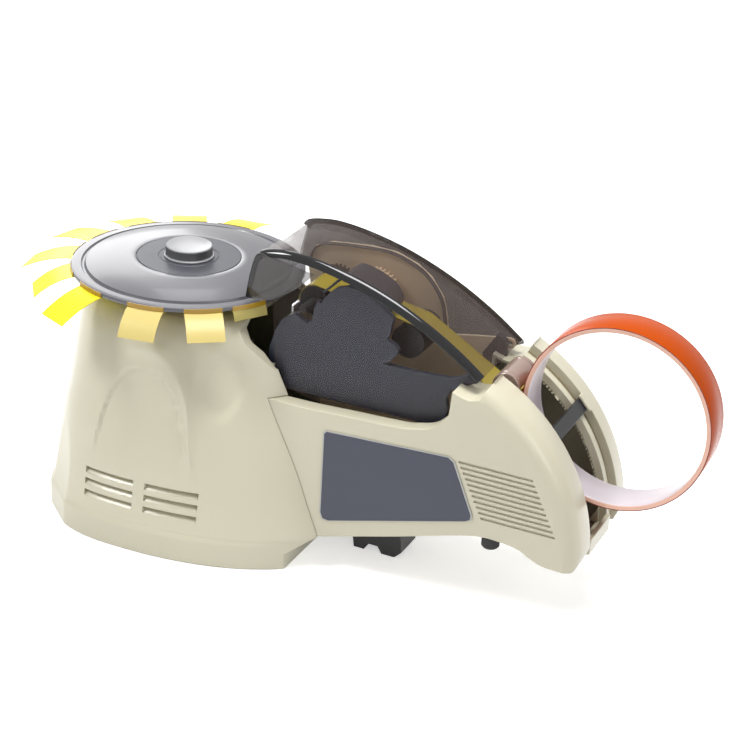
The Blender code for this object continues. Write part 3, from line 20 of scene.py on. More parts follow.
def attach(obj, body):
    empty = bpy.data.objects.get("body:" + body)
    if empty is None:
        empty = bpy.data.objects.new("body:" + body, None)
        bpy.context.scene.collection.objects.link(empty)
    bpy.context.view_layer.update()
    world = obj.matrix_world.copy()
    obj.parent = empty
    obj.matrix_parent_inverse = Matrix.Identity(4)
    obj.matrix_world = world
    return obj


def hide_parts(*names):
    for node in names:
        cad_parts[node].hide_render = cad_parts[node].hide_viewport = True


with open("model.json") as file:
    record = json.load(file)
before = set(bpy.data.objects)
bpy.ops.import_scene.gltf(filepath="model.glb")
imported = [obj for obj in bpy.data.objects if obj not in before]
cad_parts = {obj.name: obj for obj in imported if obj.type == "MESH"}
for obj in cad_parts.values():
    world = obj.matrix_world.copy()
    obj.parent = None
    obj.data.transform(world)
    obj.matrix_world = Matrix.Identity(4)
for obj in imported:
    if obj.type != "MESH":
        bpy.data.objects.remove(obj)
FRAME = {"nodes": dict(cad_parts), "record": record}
NODES: dict[str, bpy.types.Object] = FRAME["nodes"]
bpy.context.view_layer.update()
LOG = logging.getLogger("dispenser")

Point2 = tuple[float, float]
Point3 = tuple[float, float, float]
Colour = tuple[float, float, float]


class Side(Enum):
    """Side of the arm, as seen from the camera."""

    NEAR = -1
    FAR = 1


class Axis(Enum):
    """Axis that a turned piece is built around."""

    Y = "Y"
    Z = "Z"


# Mesh helpers.


def new_piece(name: str, mesh: bmesh.types.BMesh, material: Optional[bpy.types.Material],
              sharp_deg: float = 35.0) -> bpy.types.Object:
    """Make an object at the origin from a bmesh.

    Args:
        name: Name of the piece.
        mesh: Its shape, which is freed here.
        material: Finish, or None for a cutter.
        sharp_deg: Edges sharper than this stay hard.

    Returns:
        The new object.
    """
    data = bpy.data.meshes.new(name)
    mesh.to_mesh(data)
    mesh.free()
    data.shade_smooth()
    data.set_sharp_from_angle(angle=math.radians(sharp_deg))
    piece = bpy.data.objects.new(name, data)
    bpy.context.scene.collection.objects.link(piece)
    if material is not None:
        data.materials.append(material)
    return piece


def closed_loop(mesh: bmesh.types.BMesh, points: Iterable[Point3]) -> list[bmesh.types.BMEdge]:
    """Add a closed ring of edges through the points and return its edges."""
    verts = [mesh.verts.new(point) for point in points]
    return [mesh.edges.new((verts[i], verts[(i + 1) % len(verts)])) for i in range(len(verts))]


def skin(loops: Sequence[Sequence[Point3]], capped: bool = True) -> bmesh.types.BMesh:
    """Bridge closed loops of points into a skin.

    Args:
        loops: Rings of equal length, in order.
        capped: Whether the two end rings are filled.

    Returns:
        A bmesh with outward faces.
    """
    mesh = bmesh.new()
    rings = [closed_loop(mesh, loop) for loop in loops]
    for first, second in zip(rings, rings[1:]):
        bmesh.ops.bridge_loops(mesh, edges=first + second)
    if capped:
        bmesh.ops.contextual_create(mesh, geom=rings[0])
        bmesh.ops.contextual_create(mesh, geom=rings[-1])
    bmesh.ops.recalc_face_normals(mesh, faces=mesh.faces)
    return mesh


def prism(outline: Sequence[Point2], low: float, high: float, plane: str = "XZ") -> bmesh.types.BMesh:
    """Extrude a flat outline.

    Args:
        outline: Points in the plane.
        low: Start along the remaining axis.
        high: End along the remaining axis.
        plane: XZ, YZ or XY.

    Returns:
        A closed bmesh.
    """
    place: dict[str, Callable[[float, float], Point3]] = {
        "XZ": lambda a, b: (a, low, b),
        "YZ": lambda a, b: (low, a, b),
        "XY": lambda a, b: (a, b, low),
    }
    way = {"XZ": (0, high - low, 0), "YZ": (high - low, 0, 0), "XY": (0, 0, high - low)}[plane]
    mesh = bmesh.new()
    edges = closed_loop(mesh, [place[plane](a, b) for a, b in outline])
    face = bmesh.ops.contextual_create(mesh, geom=edges)["faces"]
    grown = bmesh.ops.extrude_face_region(mesh, geom=face, use_keep_orig=True)
    verts = [item for item in grown["geom"] if isinstance(item, bmesh.types.BMVert)]
    bmesh.ops.translate(mesh, verts=verts, vec=way)
    bmesh.ops.recalc_face_normals(mesh, faces=mesh.faces)
    return mesh


def turned(profile: Sequence[Point2], centre: Point3, axis: Axis = Axis.Z, steps: int = 96) -> bmesh.types.BMesh:
    """Spin a closed or axis-touching profile.

    Args:
        profile: (radius, height) points.
        centre: Centre of the turn.
        axis: Axis of the turn.
        steps: Segments round the axis.

    Returns:
        A closed bmesh.
    """
    mesh = bmesh.new()
    verts = [mesh.verts.new((radius, 0, height)) for radius, height in profile]
    edges = [mesh.edges.new(pair) for pair in zip(verts, verts[1:])]
    if profile[0][0] > EPSILON or profile[-1][0] > EPSILON:
        edges.append(mesh.edges.new((verts[-1], verts[0])))
    bmesh.ops.spin(mesh, geom=verts + edges, cent=(0, 0, 0), axis=(0, 0, 1), angle=math.tau, steps=steps,
                   use_merge=True)
    bmesh.ops.remove_doubles(mesh, verts=mesh.verts, dist=EPSILON)
    bmesh.ops.recalc_face_normals(mesh, faces=mesh.faces)
    if axis is Axis.Y:
        bmesh.ops.rotate(mesh, verts=mesh.verts, matrix=Matrix.Rotation(-math.pi / 2, 3, "X"))
    bmesh.ops.translate(mesh, verts=mesh.verts, vec=centre)
    return mesh


EPSILON = 1e-6


def carve(piece: bpy.types.Object, tools: Sequence[bpy.types.Object], union: bool = False) -> None:
    """Cut the tools out of a piece, or join them, and remove the tools."""
    for tool in tools:
        change = piece.modifiers.new(tool.name, "BOOLEAN")
        change.operation = "UNION" if union else "DIFFERENCE"
        change.solver = "EXACT"
        change.object = tool
    bake(piece)
    for tool in tools:
        bpy.data.objects.remove(tool, do_unlink=True)


def bake(piece: bpy.types.Object) -> None:
    """Replace a piece's mesh by its evaluated one and drop its modifiers."""
    bpy.context.view_layer.update()
    graph = bpy.context.evaluated_depsgraph_get()
    data = bpy.data.meshes.new_from_object(piece.evaluated_get(graph), depsgraph=graph)
    materials = list(piece.data.materials)
    piece.modifiers.clear()
    piece.data = data
    data.materials.clear()
    for material in materials:
        data.materials.append(material)


def resharpen(piece: bpy.types.Object, sharp_deg: float = 32.0) -> None:
    """Set smooth shading with hard edges again after a cut."""
    piece.data.shade_smooth()
    piece.data.set_sharp_from_angle(angle=math.radians(sharp_deg))


def soften(piece: bpy.types.Object, width: float, segments: int = 2, limit_deg: float = 40.0) -> None:
    """Add a live bevel to a piece's hard edges."""
    bevel = piece.modifiers.new("edge_round", "BEVEL")
    bevel.width = width
    bevel.segments = segments
    bevel.limit_method = "ANGLE"
    bevel.angle_limit = math.radians(limit_deg)
    bevel.use_clamp_overlap = True
    bevel.harden_normals = False


def scaled(shares: Sequence[Point2], low: Point2, high: Point2) -> list[Point2]:
    """Turn shares of a rectangle into points."""
    return [(low[0] + a * (high[0] - low[0]), low[1] + b * (high[1] - low[1])) for a, b in shares]


def arc(centre: Point2, radius: float, first_deg: float, last_deg: float, steps: int) -> list[Point2]:
    """Points of an arc."""
    turns = [math.radians(first_deg + (last_deg - first_deg) * i / steps) for i in range(steps + 1)]
    return [(centre[0] + radius * math.cos(t), centre[1] + radius * math.sin(t)) for t in turns]


def flowing(points: Sequence[Point2], per_span: int) -> list[Point2]:
    """Smooth open line through the points, with per_span points in each span."""
    line: list[Point2] = []
    last = len(points) - 1
    for i in range(last):
        before, start = points[max(i - 1, 0)], points[i]
        end, after = points[i + 1], points[min(i + 2, last)]
        for step in range(per_span):
            t = step / per_span
            line.append(tuple(
                0.5 * ((2 * start[k]) + (end[k] - before[k]) * t
                       + (2 * before[k] - 5 * start[k] + 4 * end[k] - after[k]) * t * t
                       + (3 * start[k] - before[k] - 3 * end[k] + after[k]) * t ** 3)
                for k in range(2)))
    line.append(tuple(points[-1]))
    return line


def shifted(points: Sequence[Point2], distance: float) -> list[Point2]:
    """Shift an open line to its left side."""
    moved = []
    for i, point in enumerate(points):
        back = Vector(point) - Vector(points[max(i - 1, 0)])
        ahead = Vector(points[min(i + 1, len(points) - 1)]) - Vector(point)
        way = (back.normalized() + ahead.normalized()).normalized()
        lean = max(way.dot((ahead if ahead.length else back).normalized()), 0.5)
        moved.append((point[0] - way.y * distance / lean, point[1] + way.x * distance / lean))
    return moved


def smoothstep(low: float, high: float, value: float) -> float:
    """Smooth ramp from 0 at low to 1 at high."""
    share = min(max((value - low) / (high - low), 0.0), 1.0)
    return share * share * (3 - 2 * share)


# Finishes.


def node_group(name: str, inputs: Sequence[tuple[str, str, float]],
               outputs: Sequence[tuple[str, str]]) -> tuple[bpy.types.NodeTree, bpy.types.Node, bpy.types.Node]:
    """Make an empty shader group with named sockets.

    Args:
        name: Name of the group.
        inputs: (name, socket type, default) of each input.
        outputs: (name, socket type) of each output.

    Returns:
        The group, its input node and its output node.
    """
    group = bpy.data.node_groups.new(name, "ShaderNodeTree")
    for label, kind, default in inputs:
        socket = group.interface.new_socket(name=label, in_out="INPUT", socket_type=kind)
        if kind == "NodeSocketFloat":
            socket.default_value = default
    for label, kind in outputs:
        group.interface.new_socket(name=label, in_out="OUTPUT", socket_type=kind)
    entry = group.nodes.new("NodeGroupInput")
    leave = group.nodes.new("NodeGroupOutput")
    return group, entry, leave


def moulded_surface_group() -> bpy.types.NodeTree:
    """Group for moulded plastic: fine grain, cloudy tone and uneven gloss."""
    name = "moulded_surface"
    if name in bpy.data.node_groups:
        return bpy.data.node_groups[name]
    group, entry, leave = node_group(
        name,
        [("Grain Scale", "NodeSocketFloat", 900.0), ("Cloud Scale", "NodeSocketFloat", 22.0),
         ("Roughness", "NodeSocketFloat", 0.4), ("Roughness Spread", "NodeSocketFloat", 0.08),
         ("Tone Spread", "NodeSocketFloat", 0.03)],
        [("Height", "NodeSocketFloat"), ("Roughness", "NodeSocketFloat"), ("Tone", "NodeSocketFloat")])
    link = group.links.new
    place = group.nodes.new("ShaderNodeTexCoord")
    grain = group.nodes.new("ShaderNodeTexNoise")
    grain.inputs["Detail"].default_value = 4.0
    link(place.outputs["Object"], grain.inputs["Vector"])
    link(entry.outputs["Grain Scale"], grain.inputs["Scale"])
    link(grain.outputs["Fac"], leave.inputs["Height"])
    cloud = group.nodes.new("ShaderNodeTexNoise")
    cloud.inputs["Detail"].default_value = 3.0
    link(place.outputs["Object"], cloud.inputs["Vector"])
    link(entry.outputs["Cloud Scale"], cloud.inputs["Scale"])
    centred = group.nodes.new("ShaderNodeMath")
    centred.operation = "SUBTRACT"
    centred.inputs[1].default_value = 0.5
    link(cloud.outputs["Fac"], centred.inputs[0])
    for spread, base, target in (("Roughness Spread", "Roughness", "Roughness"), ("Tone Spread", None, "Tone")):
        blend = group.nodes.new("ShaderNodeMath")
        blend.operation = "MULTIPLY_ADD"
        link(centred.outputs[0], blend.inputs[0])
        link(entry.outputs[spread], blend.inputs[1])
        if base is None:
            blend.inputs[2].default_value = 1.0
        else:
            link(entry.outputs[base], blend.inputs[2])
        link(blend.outputs[0], leave.inputs[target])
    return group


@dataclass(frozen=True)
class MouldedPlastic:
    """Moulded plastic with a fine grain and a slightly uneven gloss."""

    name: str
    colour: Colour
    roughness: float = 0.4
    roughness_spread: float = 0.08
    tone_spread: float = 0.05
    grain_scale: float = 900.0
    grain_depth: float = 0.00004
    cloud_scale: float = 22.0
    coat: float = 0.0
    metallic: float = 0.0
    specular: float = 0.5
    edge_radius: float = 0.0

    def build(self) -> bpy.types.Material:
        """Return the material."""
        material = bpy.data.materials.new(self.name)
        material.use_nodes = True
        tree = material.node_tree
        shader = tree.nodes["Principled BSDF"]
        shader.inputs["Metallic"].default_value = self.metallic
        shader.inputs["Coat Weight"].default_value = self.coat
        shader.inputs["Coat Roughness"].default_value = 0.12
        shader.inputs["Specular IOR Level"].default_value = self.specular
        surface = tree.nodes.new("ShaderNodeGroup")
        surface.node_tree = moulded_surface_group()
        surface.inputs["Grain Scale"].default_value = self.grain_scale
        surface.inputs["Cloud Scale"].default_value = self.cloud_scale
        surface.inputs["Roughness"].default_value = self.roughness
        surface.inputs["Roughness Spread"].default_value = self.roughness_spread
        surface.inputs["Tone Spread"].default_value = self.tone_spread
        tone = tree.nodes.new("ShaderNodeMix")
        tone.data_type = "RGBA"
        tone.blend_type = "MULTIPLY"
        tone.inputs["Factor"].default_value = 1.0
        tone.inputs["A"].default_value = (*self.colour, 1.0)
        tree.links.new(surface.outputs["Tone"], tone.inputs["B"])
        tree.links.new(tone.outputs["Result"], shader.inputs["Base Color"])
        tree.links.new(surface.outputs["Roughness"], shader.inputs["Roughness"])
        bump = tree.nodes.new("ShaderNodeBump")
        bump.inputs["Distance"].default_value = self.grain_depth
        tree.links.new(surface.outputs["Height"], bump.inputs["Height"])
        if self.edge_radius > 0:
            edge = tree.nodes.new("ShaderNodeBevel")
            edge.samples = 6
            edge.inputs["Radius"].default_value = self.edge_radius
            tree.links.new(edge.outputs["Normal"], bump.inputs["Normal"])
        tree.links.new(bump.outputs["Normal"], shader.inputs["Normal"])
        material.diffuse_color = (*self.colour, 1.0)
        return material


@dataclass(frozen=True)
class ClearFilm:
    """Tinted see-through plastic or film."""

    name: str
    colour: Colour
    alpha: float = 0.6
    roughness: float = 0.08
    specular: float = 0.5
    coat: float = 0.0
    far_alpha: Optional[float] = None
    far_left_alpha: float = 1.0
    far_y: float = 0.0345
    far_left_x: float = 0.075
    far_right_x: float = 0.165
    smudge_scale: float = 30.0
    smudge_spread: float = 0.04

    def build(self) -> bpy.types.Material:
        """Return the material."""
        material = bpy.data.materials.new(self.name)
        material.use_nodes = True
        tree = material.node_tree
        shader = tree.nodes["Principled BSDF"]
        shader.inputs["Specular IOR Level"].default_value = self.specular
        shader.inputs["Coat Weight"].default_value = self.coat
        surface = tree.nodes.new("ShaderNodeGroup")
        surface.node_tree = moulded_surface_group()
        surface.inputs["Cloud Scale"].default_value = self.smudge_scale
        surface.inputs["Roughness"].default_value = self.roughness
        surface.inputs["Roughness Spread"].default_value = self.smudge_spread
        surface.inputs["Tone Spread"].default_value = 0.04
        tree.links.new(surface.outputs["Roughness"], shader.inputs["Roughness"])
        tone = tree.nodes.new("ShaderNodeMix")
        tone.data_type = "RGBA"
        tone.blend_type = "MULTIPLY"
        tone.inputs["Factor"].default_value = 1.0
        tone.inputs["A"].default_value = (*self.colour, 1.0)
        tree.links.new(surface.outputs["Tone"], tone.inputs["B"])
        tree.links.new(tone.outputs["Result"], shader.inputs["Base Color"])
        shader.inputs["Alpha"].default_value = self.alpha
        # Past far_y the far wall's alpha ramps from far_left_alpha to far_alpha along X, so the far wall reads much
        # denser than the near one and darker towards the right: painted shade.
        if self.far_alpha is not None:
            place = tree.nodes.new("ShaderNodeTexCoord")
            apart = tree.nodes.new("ShaderNodeSeparateXYZ")
            tree.links.new(place.outputs["Object"], apart.inputs[0])
            blend = tree.nodes.new("ShaderNodeMapRange")
            blend.inputs["From Min"].default_value = self.far_y - 0.001
            blend.inputs["From Max"].default_value = self.far_y
            blend.inputs["To Min"].default_value = self.alpha
            along = tree.nodes.new("ShaderNodeMapRange")
            along.inputs["From Min"].default_value = self.far_left_x
            along.inputs["From Max"].default_value = self.far_right_x
            along.inputs["To Min"].default_value = self.far_left_alpha
            along.inputs["To Max"].default_value = self.far_alpha
            tree.links.new(apart.outputs["X"], along.inputs["Value"])
            tree.links.new(along.outputs["Result"], blend.inputs["To Max"])
            tree.links.new(apart.outputs["Y"], blend.inputs["Value"])
            tree.links.new(blend.outputs["Result"], shader.inputs["Alpha"])
        material.diffuse_color = (*self.colour, self.alpha)
        return material


# Sub-assemblies.


def superellipse(height: float, front: float, left: float, right: float, points: int,
                 flat_x: Optional[float] = None, powers: Point2 = (2.6, 2.2)) -> list[Point3]:
    """One level of the tower, with unlike left and right halves.

    Args:
        height: Level above the ground.
        front: Half depth.
        left: Reach to the left.
        right: Reach to the right.
        points: Points round the level.
        flat_x: Where the right side is cut flat, or None.
        powers: Roundness of the left and the right half.

    Returns:
        The points of the level.
    """
    level = []
    for index in range(points):
        turn = math.tau * index / points
        rightward = math.cos(turn) >= 0
        power, reach = (powers[1], right) if rightward else (powers[0], left)
        x = math.copysign(reach * abs(math.cos(turn)) ** (2 / power), math.cos(turn))
        y = math.copysign(front * abs(math.sin(turn)) ** (2 / power), math.sin(turn))
        level.append((min(x, flat_x) if flat_x is not None else x, y, height))
    return level


@dataclass
class TowerHousing:
    """Moulded tower with its relief, louvres, arm notch and shoulder opening."""

    height: float = 0.166
    half_depth: float = 0.095
    left: float = 0.086
    right: float = 0.145
    wall: float = 0.0025
    flat_x: float = 0.1125
    points: int = 320
    fine_levels: int = 9
    skirt_shares: tuple[Point3, ...] = (
        (0.0, 0.988, 0.988), (0.007, 0.9985, 0.9985), (0.100, 1.0, 1.0), (0.107, 1.0, 1.0), (0.112, 0.998, 1.001),
        (0.124, 0.981, 1.012), (0.128, 0.9795, 1.0145), (0.133, 0.979, 1.015))
    body_shares: tuple[Point3, ...] = (
        (0.133, 0.979, 1.015), (0.160, 0.968, 1.010), (0.265, 0.940, 0.965), (0.375, 0.915, 0.920),
        (0.490, 0.885, 0.862), (0.600, 0.845, 0.805), (0.700, 0.815, 0.755), (0.800, 0.787, 0.700),
        (0.900, 0.752, 0.645), (0.955, 0.712, 0.600), (0.987, 0.660, 0.552), (1.0, 0.600, 0.500))
    cavity_shares: tuple[Point3, ...] = (
        (-0.06, 1.0, 1.0), (0.110, 1.0, 1.0), (0.150, 0.968, 1.0), (0.175, 0.964, 1.0), (0.375, 0.915, 0.920),
        (0.600, 0.845, 0.805), (0.800, 0.787, 0.700), (0.900, 0.752, 0.645), (0.980, 0.665, 0.560))
    arch_centre: Point2 = (0.010, 0.052)
    arch_size: Point2 = (0.034, 0.077)
    arch_depth: float = 0.0022
    ridge_size: Point2 = (0.040, 0.091)
    ridge_height: float = 0.0024
    scoop_centre: Point2 = (0.060, 0.122)
    scoop_size: Point2 = (0.017, 0.026)
    scoop_depth: float = 0.0030
    chamfer_start: Point2 = (-0.0725, -0.0644)
    chamfer_end: Point2 = (-0.0394, -0.0938)
    louvre_tops: tuple[float, ...] = (0.0510, 0.0428, 0.0346)
    louvre_lefts: tuple[float, ...] = (-0.029, 0.018)
    louvre_length: float = 0.0385
    louvre_height: float = 0.0046
    lip: tuple[Point2, ...] = ((0.1125, -0.01), (0.165, -0.01), (0.165, 0.0450), (0.1125, 0.012))
    shoulder: tuple[Point2, ...] = ((0.0672, 0.144), (0.086, 0.135), (0.086, 0.1161), (0.165, 0.1161),
                                    (0.165, 0.176), (0.0672, 0.176))
    corner_opening: tuple[Point2, ...] = ((0.0705, 0.1515), (0.0660, 0.158), (0.0660, 0.176), (0.100, 0.176),
                                          (0.100, 0.1315), (0.0885, 0.1335))

    def level_shares(self) -> list[Point3]:
        """Levels of the outside, denser than the given shares."""
        wide = flowing([(up, share) for up, share, _ in self.body_shares], self.fine_levels)
        right = flowing([(up, share) for up, _, share in self.body_shares], self.fine_levels)
        body = [(a[0], a[1], b[1]) for a, b in zip(wide, right)]
        return list(self.skirt_shares) + body[1:]

    def relief(self, x: float, z: float) -> float:
        """Depth of the moulded arch and scoop at a place of the front, less the ridge round the arch."""
        def reach(size: Point2) -> float:
            """How far out the place lies, as a share of an arch of this size."""
            across = abs(x - self.arch_centre[0]) / size[0]
            up = max(z - self.arch_centre[1], 0.0) / size[1]
            return (across ** 2.4 + up ** 2.0) ** 0.5

        fade = smoothstep(0.052, 0.085, z)
        arch = smoothstep(1.0, 0.965, reach(self.arch_size)) * fade
        off = (reach(self.ridge_size) - 1.0) / 0.055
        ridge = math.exp(-off * off) * smoothstep(-0.006, 0.010, x) * fade
        away = math.hypot((x - self.scoop_centre[0]) / self.scoop_size[0],
                          (z - self.scoop_centre[1]) / self.scoop_size[1])
        scoop = smoothstep(1.0, 0.55, away) * smoothstep(0.040, 0.050, x)
        return self.arch_depth * arch - self.ridge_height * ridge + self.scoop_depth * scoop

    def chamfered(self, x: float, y: float, z: float, wide: float) -> Point2:
        """Pull a place beyond the corner's chamfer back onto it; the chamfer fades out upwards."""
        start, end = Vector(self.chamfer_start) * wide, Vector(self.chamfer_end) * wide
        way = (end - start).normalized()
        outward = Vector((way.y, -way.x))
        slack = 0.0045 * smoothstep(0.030, 0.120, z)
        beyond = (Vector((x, y)) - start).dot(outward) - slack
        if beyond <= 0 or x > 0 or y > 0:
            return x, y
        return x - outward.x * beyond, y - outward.y * beyond

    def surface_y(self, x: float, z: float) -> float:
        """Front surface at a place, between the given levels."""
        shares = self.body_shares
        up = z / self.height
        for low, high in zip(shares, shares[1:]):
            if low[0] <= up <= high[0]:
                share = (up - low[0]) / (high[0] - low[0])
                wide = low[1] + share * (high[1] - low[1])
                right = low[2] + share * (high[2] - low[2])
                reach, power = (self.right * right, 2.2) if x > 0 else (self.left * wide, 2.6)
                return -self.half_depth * wide * (1 - min(abs(x) / reach, 1.0) ** power) ** (1 / power)
        return -self.half_depth

    def outside(self) -> bmesh.types.BMesh:
        """Closed outer form with the relief in its front."""
        loops = []
        for up, wide, right in self.level_shares():
            height = self.height * up
            level = superellipse(height, self.half_depth * wide, self.left * wide, self.right * right, self.points)
            level = [(*self.chamfered(x, y, z, wide), z) for x, y, z in level]
            loops.append([(x, y + self.relief(x, z) if y < 0 else y, z) for x, y, z in level])
        return skin(loops)

    def cavity(self) -> bmesh.types.BMesh:
        """Hollow of the housing, pulled back behind the relief of its front."""
        levels = [Vector(self.cavity_shares[0])]
        for low, high in zip(self.cavity_shares, self.cavity_shares[1:]):
            levels += [Vector(low).lerp(Vector(high), step / 4) for step in range(1, 5)]
        loops = []
        for up, wide_share, right_share in levels:
            height = self.height * up
            flat = self.flat_x - self.wall if up < 0.16 else None
            wall = self.wall + 0.0024 * smoothstep(0.06, 0.12, up)
            level = superellipse(height, self.half_depth * wide_share - wall, self.left * wide_share - wall,
                                 self.right * right_share - wall, 160, flat)
            loops.append([(x, y + 1.5 * max(self.relief(x, height), 0.0) if y < 0 else y, z) for x, y, z in level])
        return skin(loops)

    def louvre(self, left: float, top: float) -> bmesh.types.BMesh:
        """Cut of one louvre that follows the front and leaves a slanted vane behind a dark slit."""
        low = top - self.louvre_height
        loops = []
        for step in range(13):
            x = left + self.louvre_length * step / 12
            face_low, face_top = self.surface_y(x, low), self.surface_y(x, top)
            loops.append([(x, face_top - 0.006, top), (x, face_low - 0.006, low), (x, face_low + 0.0007, low),
                          (x, face_top + 0.0040, top - 0.0014), (x, face_top + 0.0040, top)])
        return skin(loops)

    def build(self, finishes: dict[str, bpy.types.Material]) -> bpy.types.Object:
        """Build the housing and return it."""
        gap = 0.0003
        tower = new_piece("tower_shell", self.outside(), finishes["ivory_plastic"])
        bottom = [p for p in ARM.bottom(1) if p[0] < 0.165]
        low_line = shifted(bottom, -gap)
        notch = [(0.079 - gap, low_line[0][1])] + low_line[1:]
        notch += [(0.165, low_line[-1][1]), (0.165, 0.1163), (0.079 - gap, 0.1163)]
        tools = [self.cavity(), prism(self.lip, -0.105, 0.105), prism(notch, -0.0493, 0.0493),
                 prism(self.shoulder, -0.0381, 0.0381), prism(self.corner_opening, -0.060, -0.030),
                 turned([(0, 0.156), (0.0093, 0.156), (0.0093, 0.176), (0, 0.176)], (0, 0, 0)),
                 prism([(-0.0323, 0.0267), (0.0323, 0.0267), (0.0323, 0.0533), (-0.0323, 0.0533)], 0.073, 0.105),
                 prism([(-0.0113, 0.0047), (0.0113, 0.0047), (0.0113, 0.0153), (-0.0113, 0.0153)], 0.073, 0.105)]
        tools += [self.louvre(left, top) for left in self.louvre_lefts for top in self.louvre_tops]
        carve(tower, [new_piece(f"tower_cut_{index}", tool, None) for index, tool in enumerate(tools)])
        resharpen(tower)
        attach(tower, "housing")
        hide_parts("tower_housing")
        return tower


@dataclass
class Arm:
    """The two lobes of the arm with the grooves, rims and name plate."""

    low: Point2 = (0.079, 0.012)
    high: Point2 = (0.310, 0.162)
    half_width: float = 0.049
    slot: float = 0.020
    centre: Point2 = (0.185, 0.046)
    radius: float = 0.1255
    arc_deg: Point2 = (3.0, 63.5)
    wall: float = 0.0025
    bottom_shares: tuple[Point2, ...] = (
        (0.0, 0.003), (0.108, 0.030), (0.221, 0.073), (0.355, 0.133), (0.476, 0.187), (0.658, 0.273),
        (0.723, 0.293), (0.775, 0.293), (0.831, 0.280), (0.866, 0.253), (0.900, 0.233), (0.935, 0.227),
        (0.991, 0.227))
    top_shares: tuple[Point2, ...] = (
        (0.701, 0.993), (0.684, 0.933), (0.649, 0.920), (0.602, 0.940), (0.597, 0.827), (0.576, 0.787),
        (0.545, 0.747), (0.502, 0.727), (0.450, 0.713), (0.299, 0.703), (0.156, 0.693), (0.0, 0.693))
    ledge_inner: float = 0.0383
    shoulder_profile: tuple[Point2, ...] = ((-0.0090, 0.0494), (-0.0040, 0.0466), (-0.0014, 0.0430), (-0.0003, 0.0385),
                                            (0.0004, 0.0350), (0.0060, 0.0350), (0.0060, 0.0540), (-0.0090, 0.0540))
    lip_outline: tuple[Point2, ...] = ((0.3045, 0.0488), (0.3094, 0.0462), (0.3100, 0.0470), (0.3103, 0.0580),
                                       (0.3070, 0.0580), (0.3060, 0.0500))
    grip_count: int = 11
    plate_shares: tuple[Point2, ...] = (
        (0.229, 0.613), (0.222, 0.600), (0.2215, 0.200), (0.229, 0.172), (0.248, 0.168), (0.676, 0.352),
        (0.690, 0.364), (0.692, 0.387), (0.627, 0.622), (0.610, 0.640))

    def bottom(self, per_span: int = 4) -> list[Point2]:
        """Lower edge from left to right."""
        points = scaled(self.bottom_shares, self.low, self.high)
        return flowing(points, per_span) if per_span > 1 else points

    def top(self) -> list[Point2]:
        """Upper edge from the tip to the left."""
        points = scaled(self.top_shares, self.low, self.high)
        return points[:1] + flowing(points[1:4], 4) + flowing(points[4:], 4)

    def outline(self) -> list[Point2]:
        """Side outline of a lobe."""
        return self.bottom() + arc(self.centre, self.radius, *self.arc_deg, 60) + self.top()

    def pocket(self) -> list[Point2]:
        """Outline of the hollow inside a lobe."""
        lower = shifted(self.bottom()[:-4], self.wall)
        end = arc(self.centre, self.radius - 0.0087, self.arc_deg[0] + 4, self.arc_deg[1] - 3, 40)
        points = scaled(self.top_shares, self.low, self.high)
        upper = shifted(points[1:], self.wall)
        upper[0] = (upper[0][0], upper[0][1] - self.wall / 2)
        return lower + end + upper + [(0.069, upper[-1][1]), (0.069, lower[0][1])]

    def sector(self, inner: float) -> list[Point2]:
        """Outline of the rim cut from a radius outwards."""
        low = arc(self.centre, inner, -5, self.arc_deg[1] + 1, 60)
        high = arc(self.centre, self.radius + 0.01, -5, self.arc_deg[1] + 1, 60)
        return low + list(reversed(high))

    def shell(self, side: Side, finishes: dict[str, bpy.types.Material]) -> bpy.types.Object:
        """Build one lobe.

        Args:
            side: Near or far lobe.
            finishes: Materials by name.

        Returns:
            The lobe.
        """
        label = side.name.lower()

        def span(low: float, high: float) -> tuple[float, float]:
            """Span on this side of the arm."""
            return tuple(sorted((side.value * low, side.value * high)))

        lobe = new_piece(f"arm_{label}_lobe", prism(self.outline(), *span(self.slot, self.half_width)),
                         finishes["ivory_plastic"])
        soften(lobe, 0.0011, 3, 50)
        bake(lobe)
        inside = self.slot - 0.01
        room = [(0.069, 0.106), (0.2122, 0.106), (0.2122, 0.216), (0.069, 0.216)]
        tools = [prism(self.pocket(), *span(inside, self.half_width - self.wall)),
                 prism(room, *span(inside, self.ledge_inner)),
                 turned([(0, -0.0003), (0.0028, -0.0003), (0.0028, 0.0323), (0, 0.0323)], (0.2414, -0.010 if
                        side is Side.FAR else -0.0223, 0.149), Axis.Y, 32)]
        if side is Side.NEAR:
            tools += [self.shoulder()] + [self.grip(row) for row in range(self.grip_count)]
        else:
            tools += [prism(self.sector(self.radius - 0.0055), 0.0285, 0.0348),
                      prism(self.sector(self.radius - 0.0035), 0.0223, 0.0285),
                      prism(self.sector(self.radius - 0.0087), 0.010, 0.0226)]
        carve(lobe, [new_piece(f"{label}_cut_{index}", tool, None) for index, tool in enumerate(tools)])
        resharpen(lobe)
        if side is Side.FAR:
            # The faces in the far lobe's rim groove take a darker copy of the ivory: painted shade in the recess.
            lobe.data.materials.append(finishes["groove_olive"])
            for face in lobe.data.polygons:
                off = (Vector((face.center.x, face.center.z)) - Vector(self.centre)).length - self.radius
                if -0.0062 < off < -0.0006 and 0.0284 < face.center.y < 0.0349:
                    face.material_index = 1
        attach(lobe, "housing")
        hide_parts(f"arm_{label}_shell")
        return lobe

    def shoulder(self) -> bmesh.types.BMesh:
        """Cut that leaves a broad rounded shoulder round the near lobe's arc."""
        loops = []
        for turn in range(-8, 69, 2):
            out = Vector((math.cos(math.radians(turn)), math.sin(math.radians(turn))))
            loop = []
            for off, y in self.shoulder_profile:
                place = Vector(self.centre) + out * (self.radius + off)
                loop.append((place.x, -y, place.y))
            loops.append(loop)
        return skin(loops)

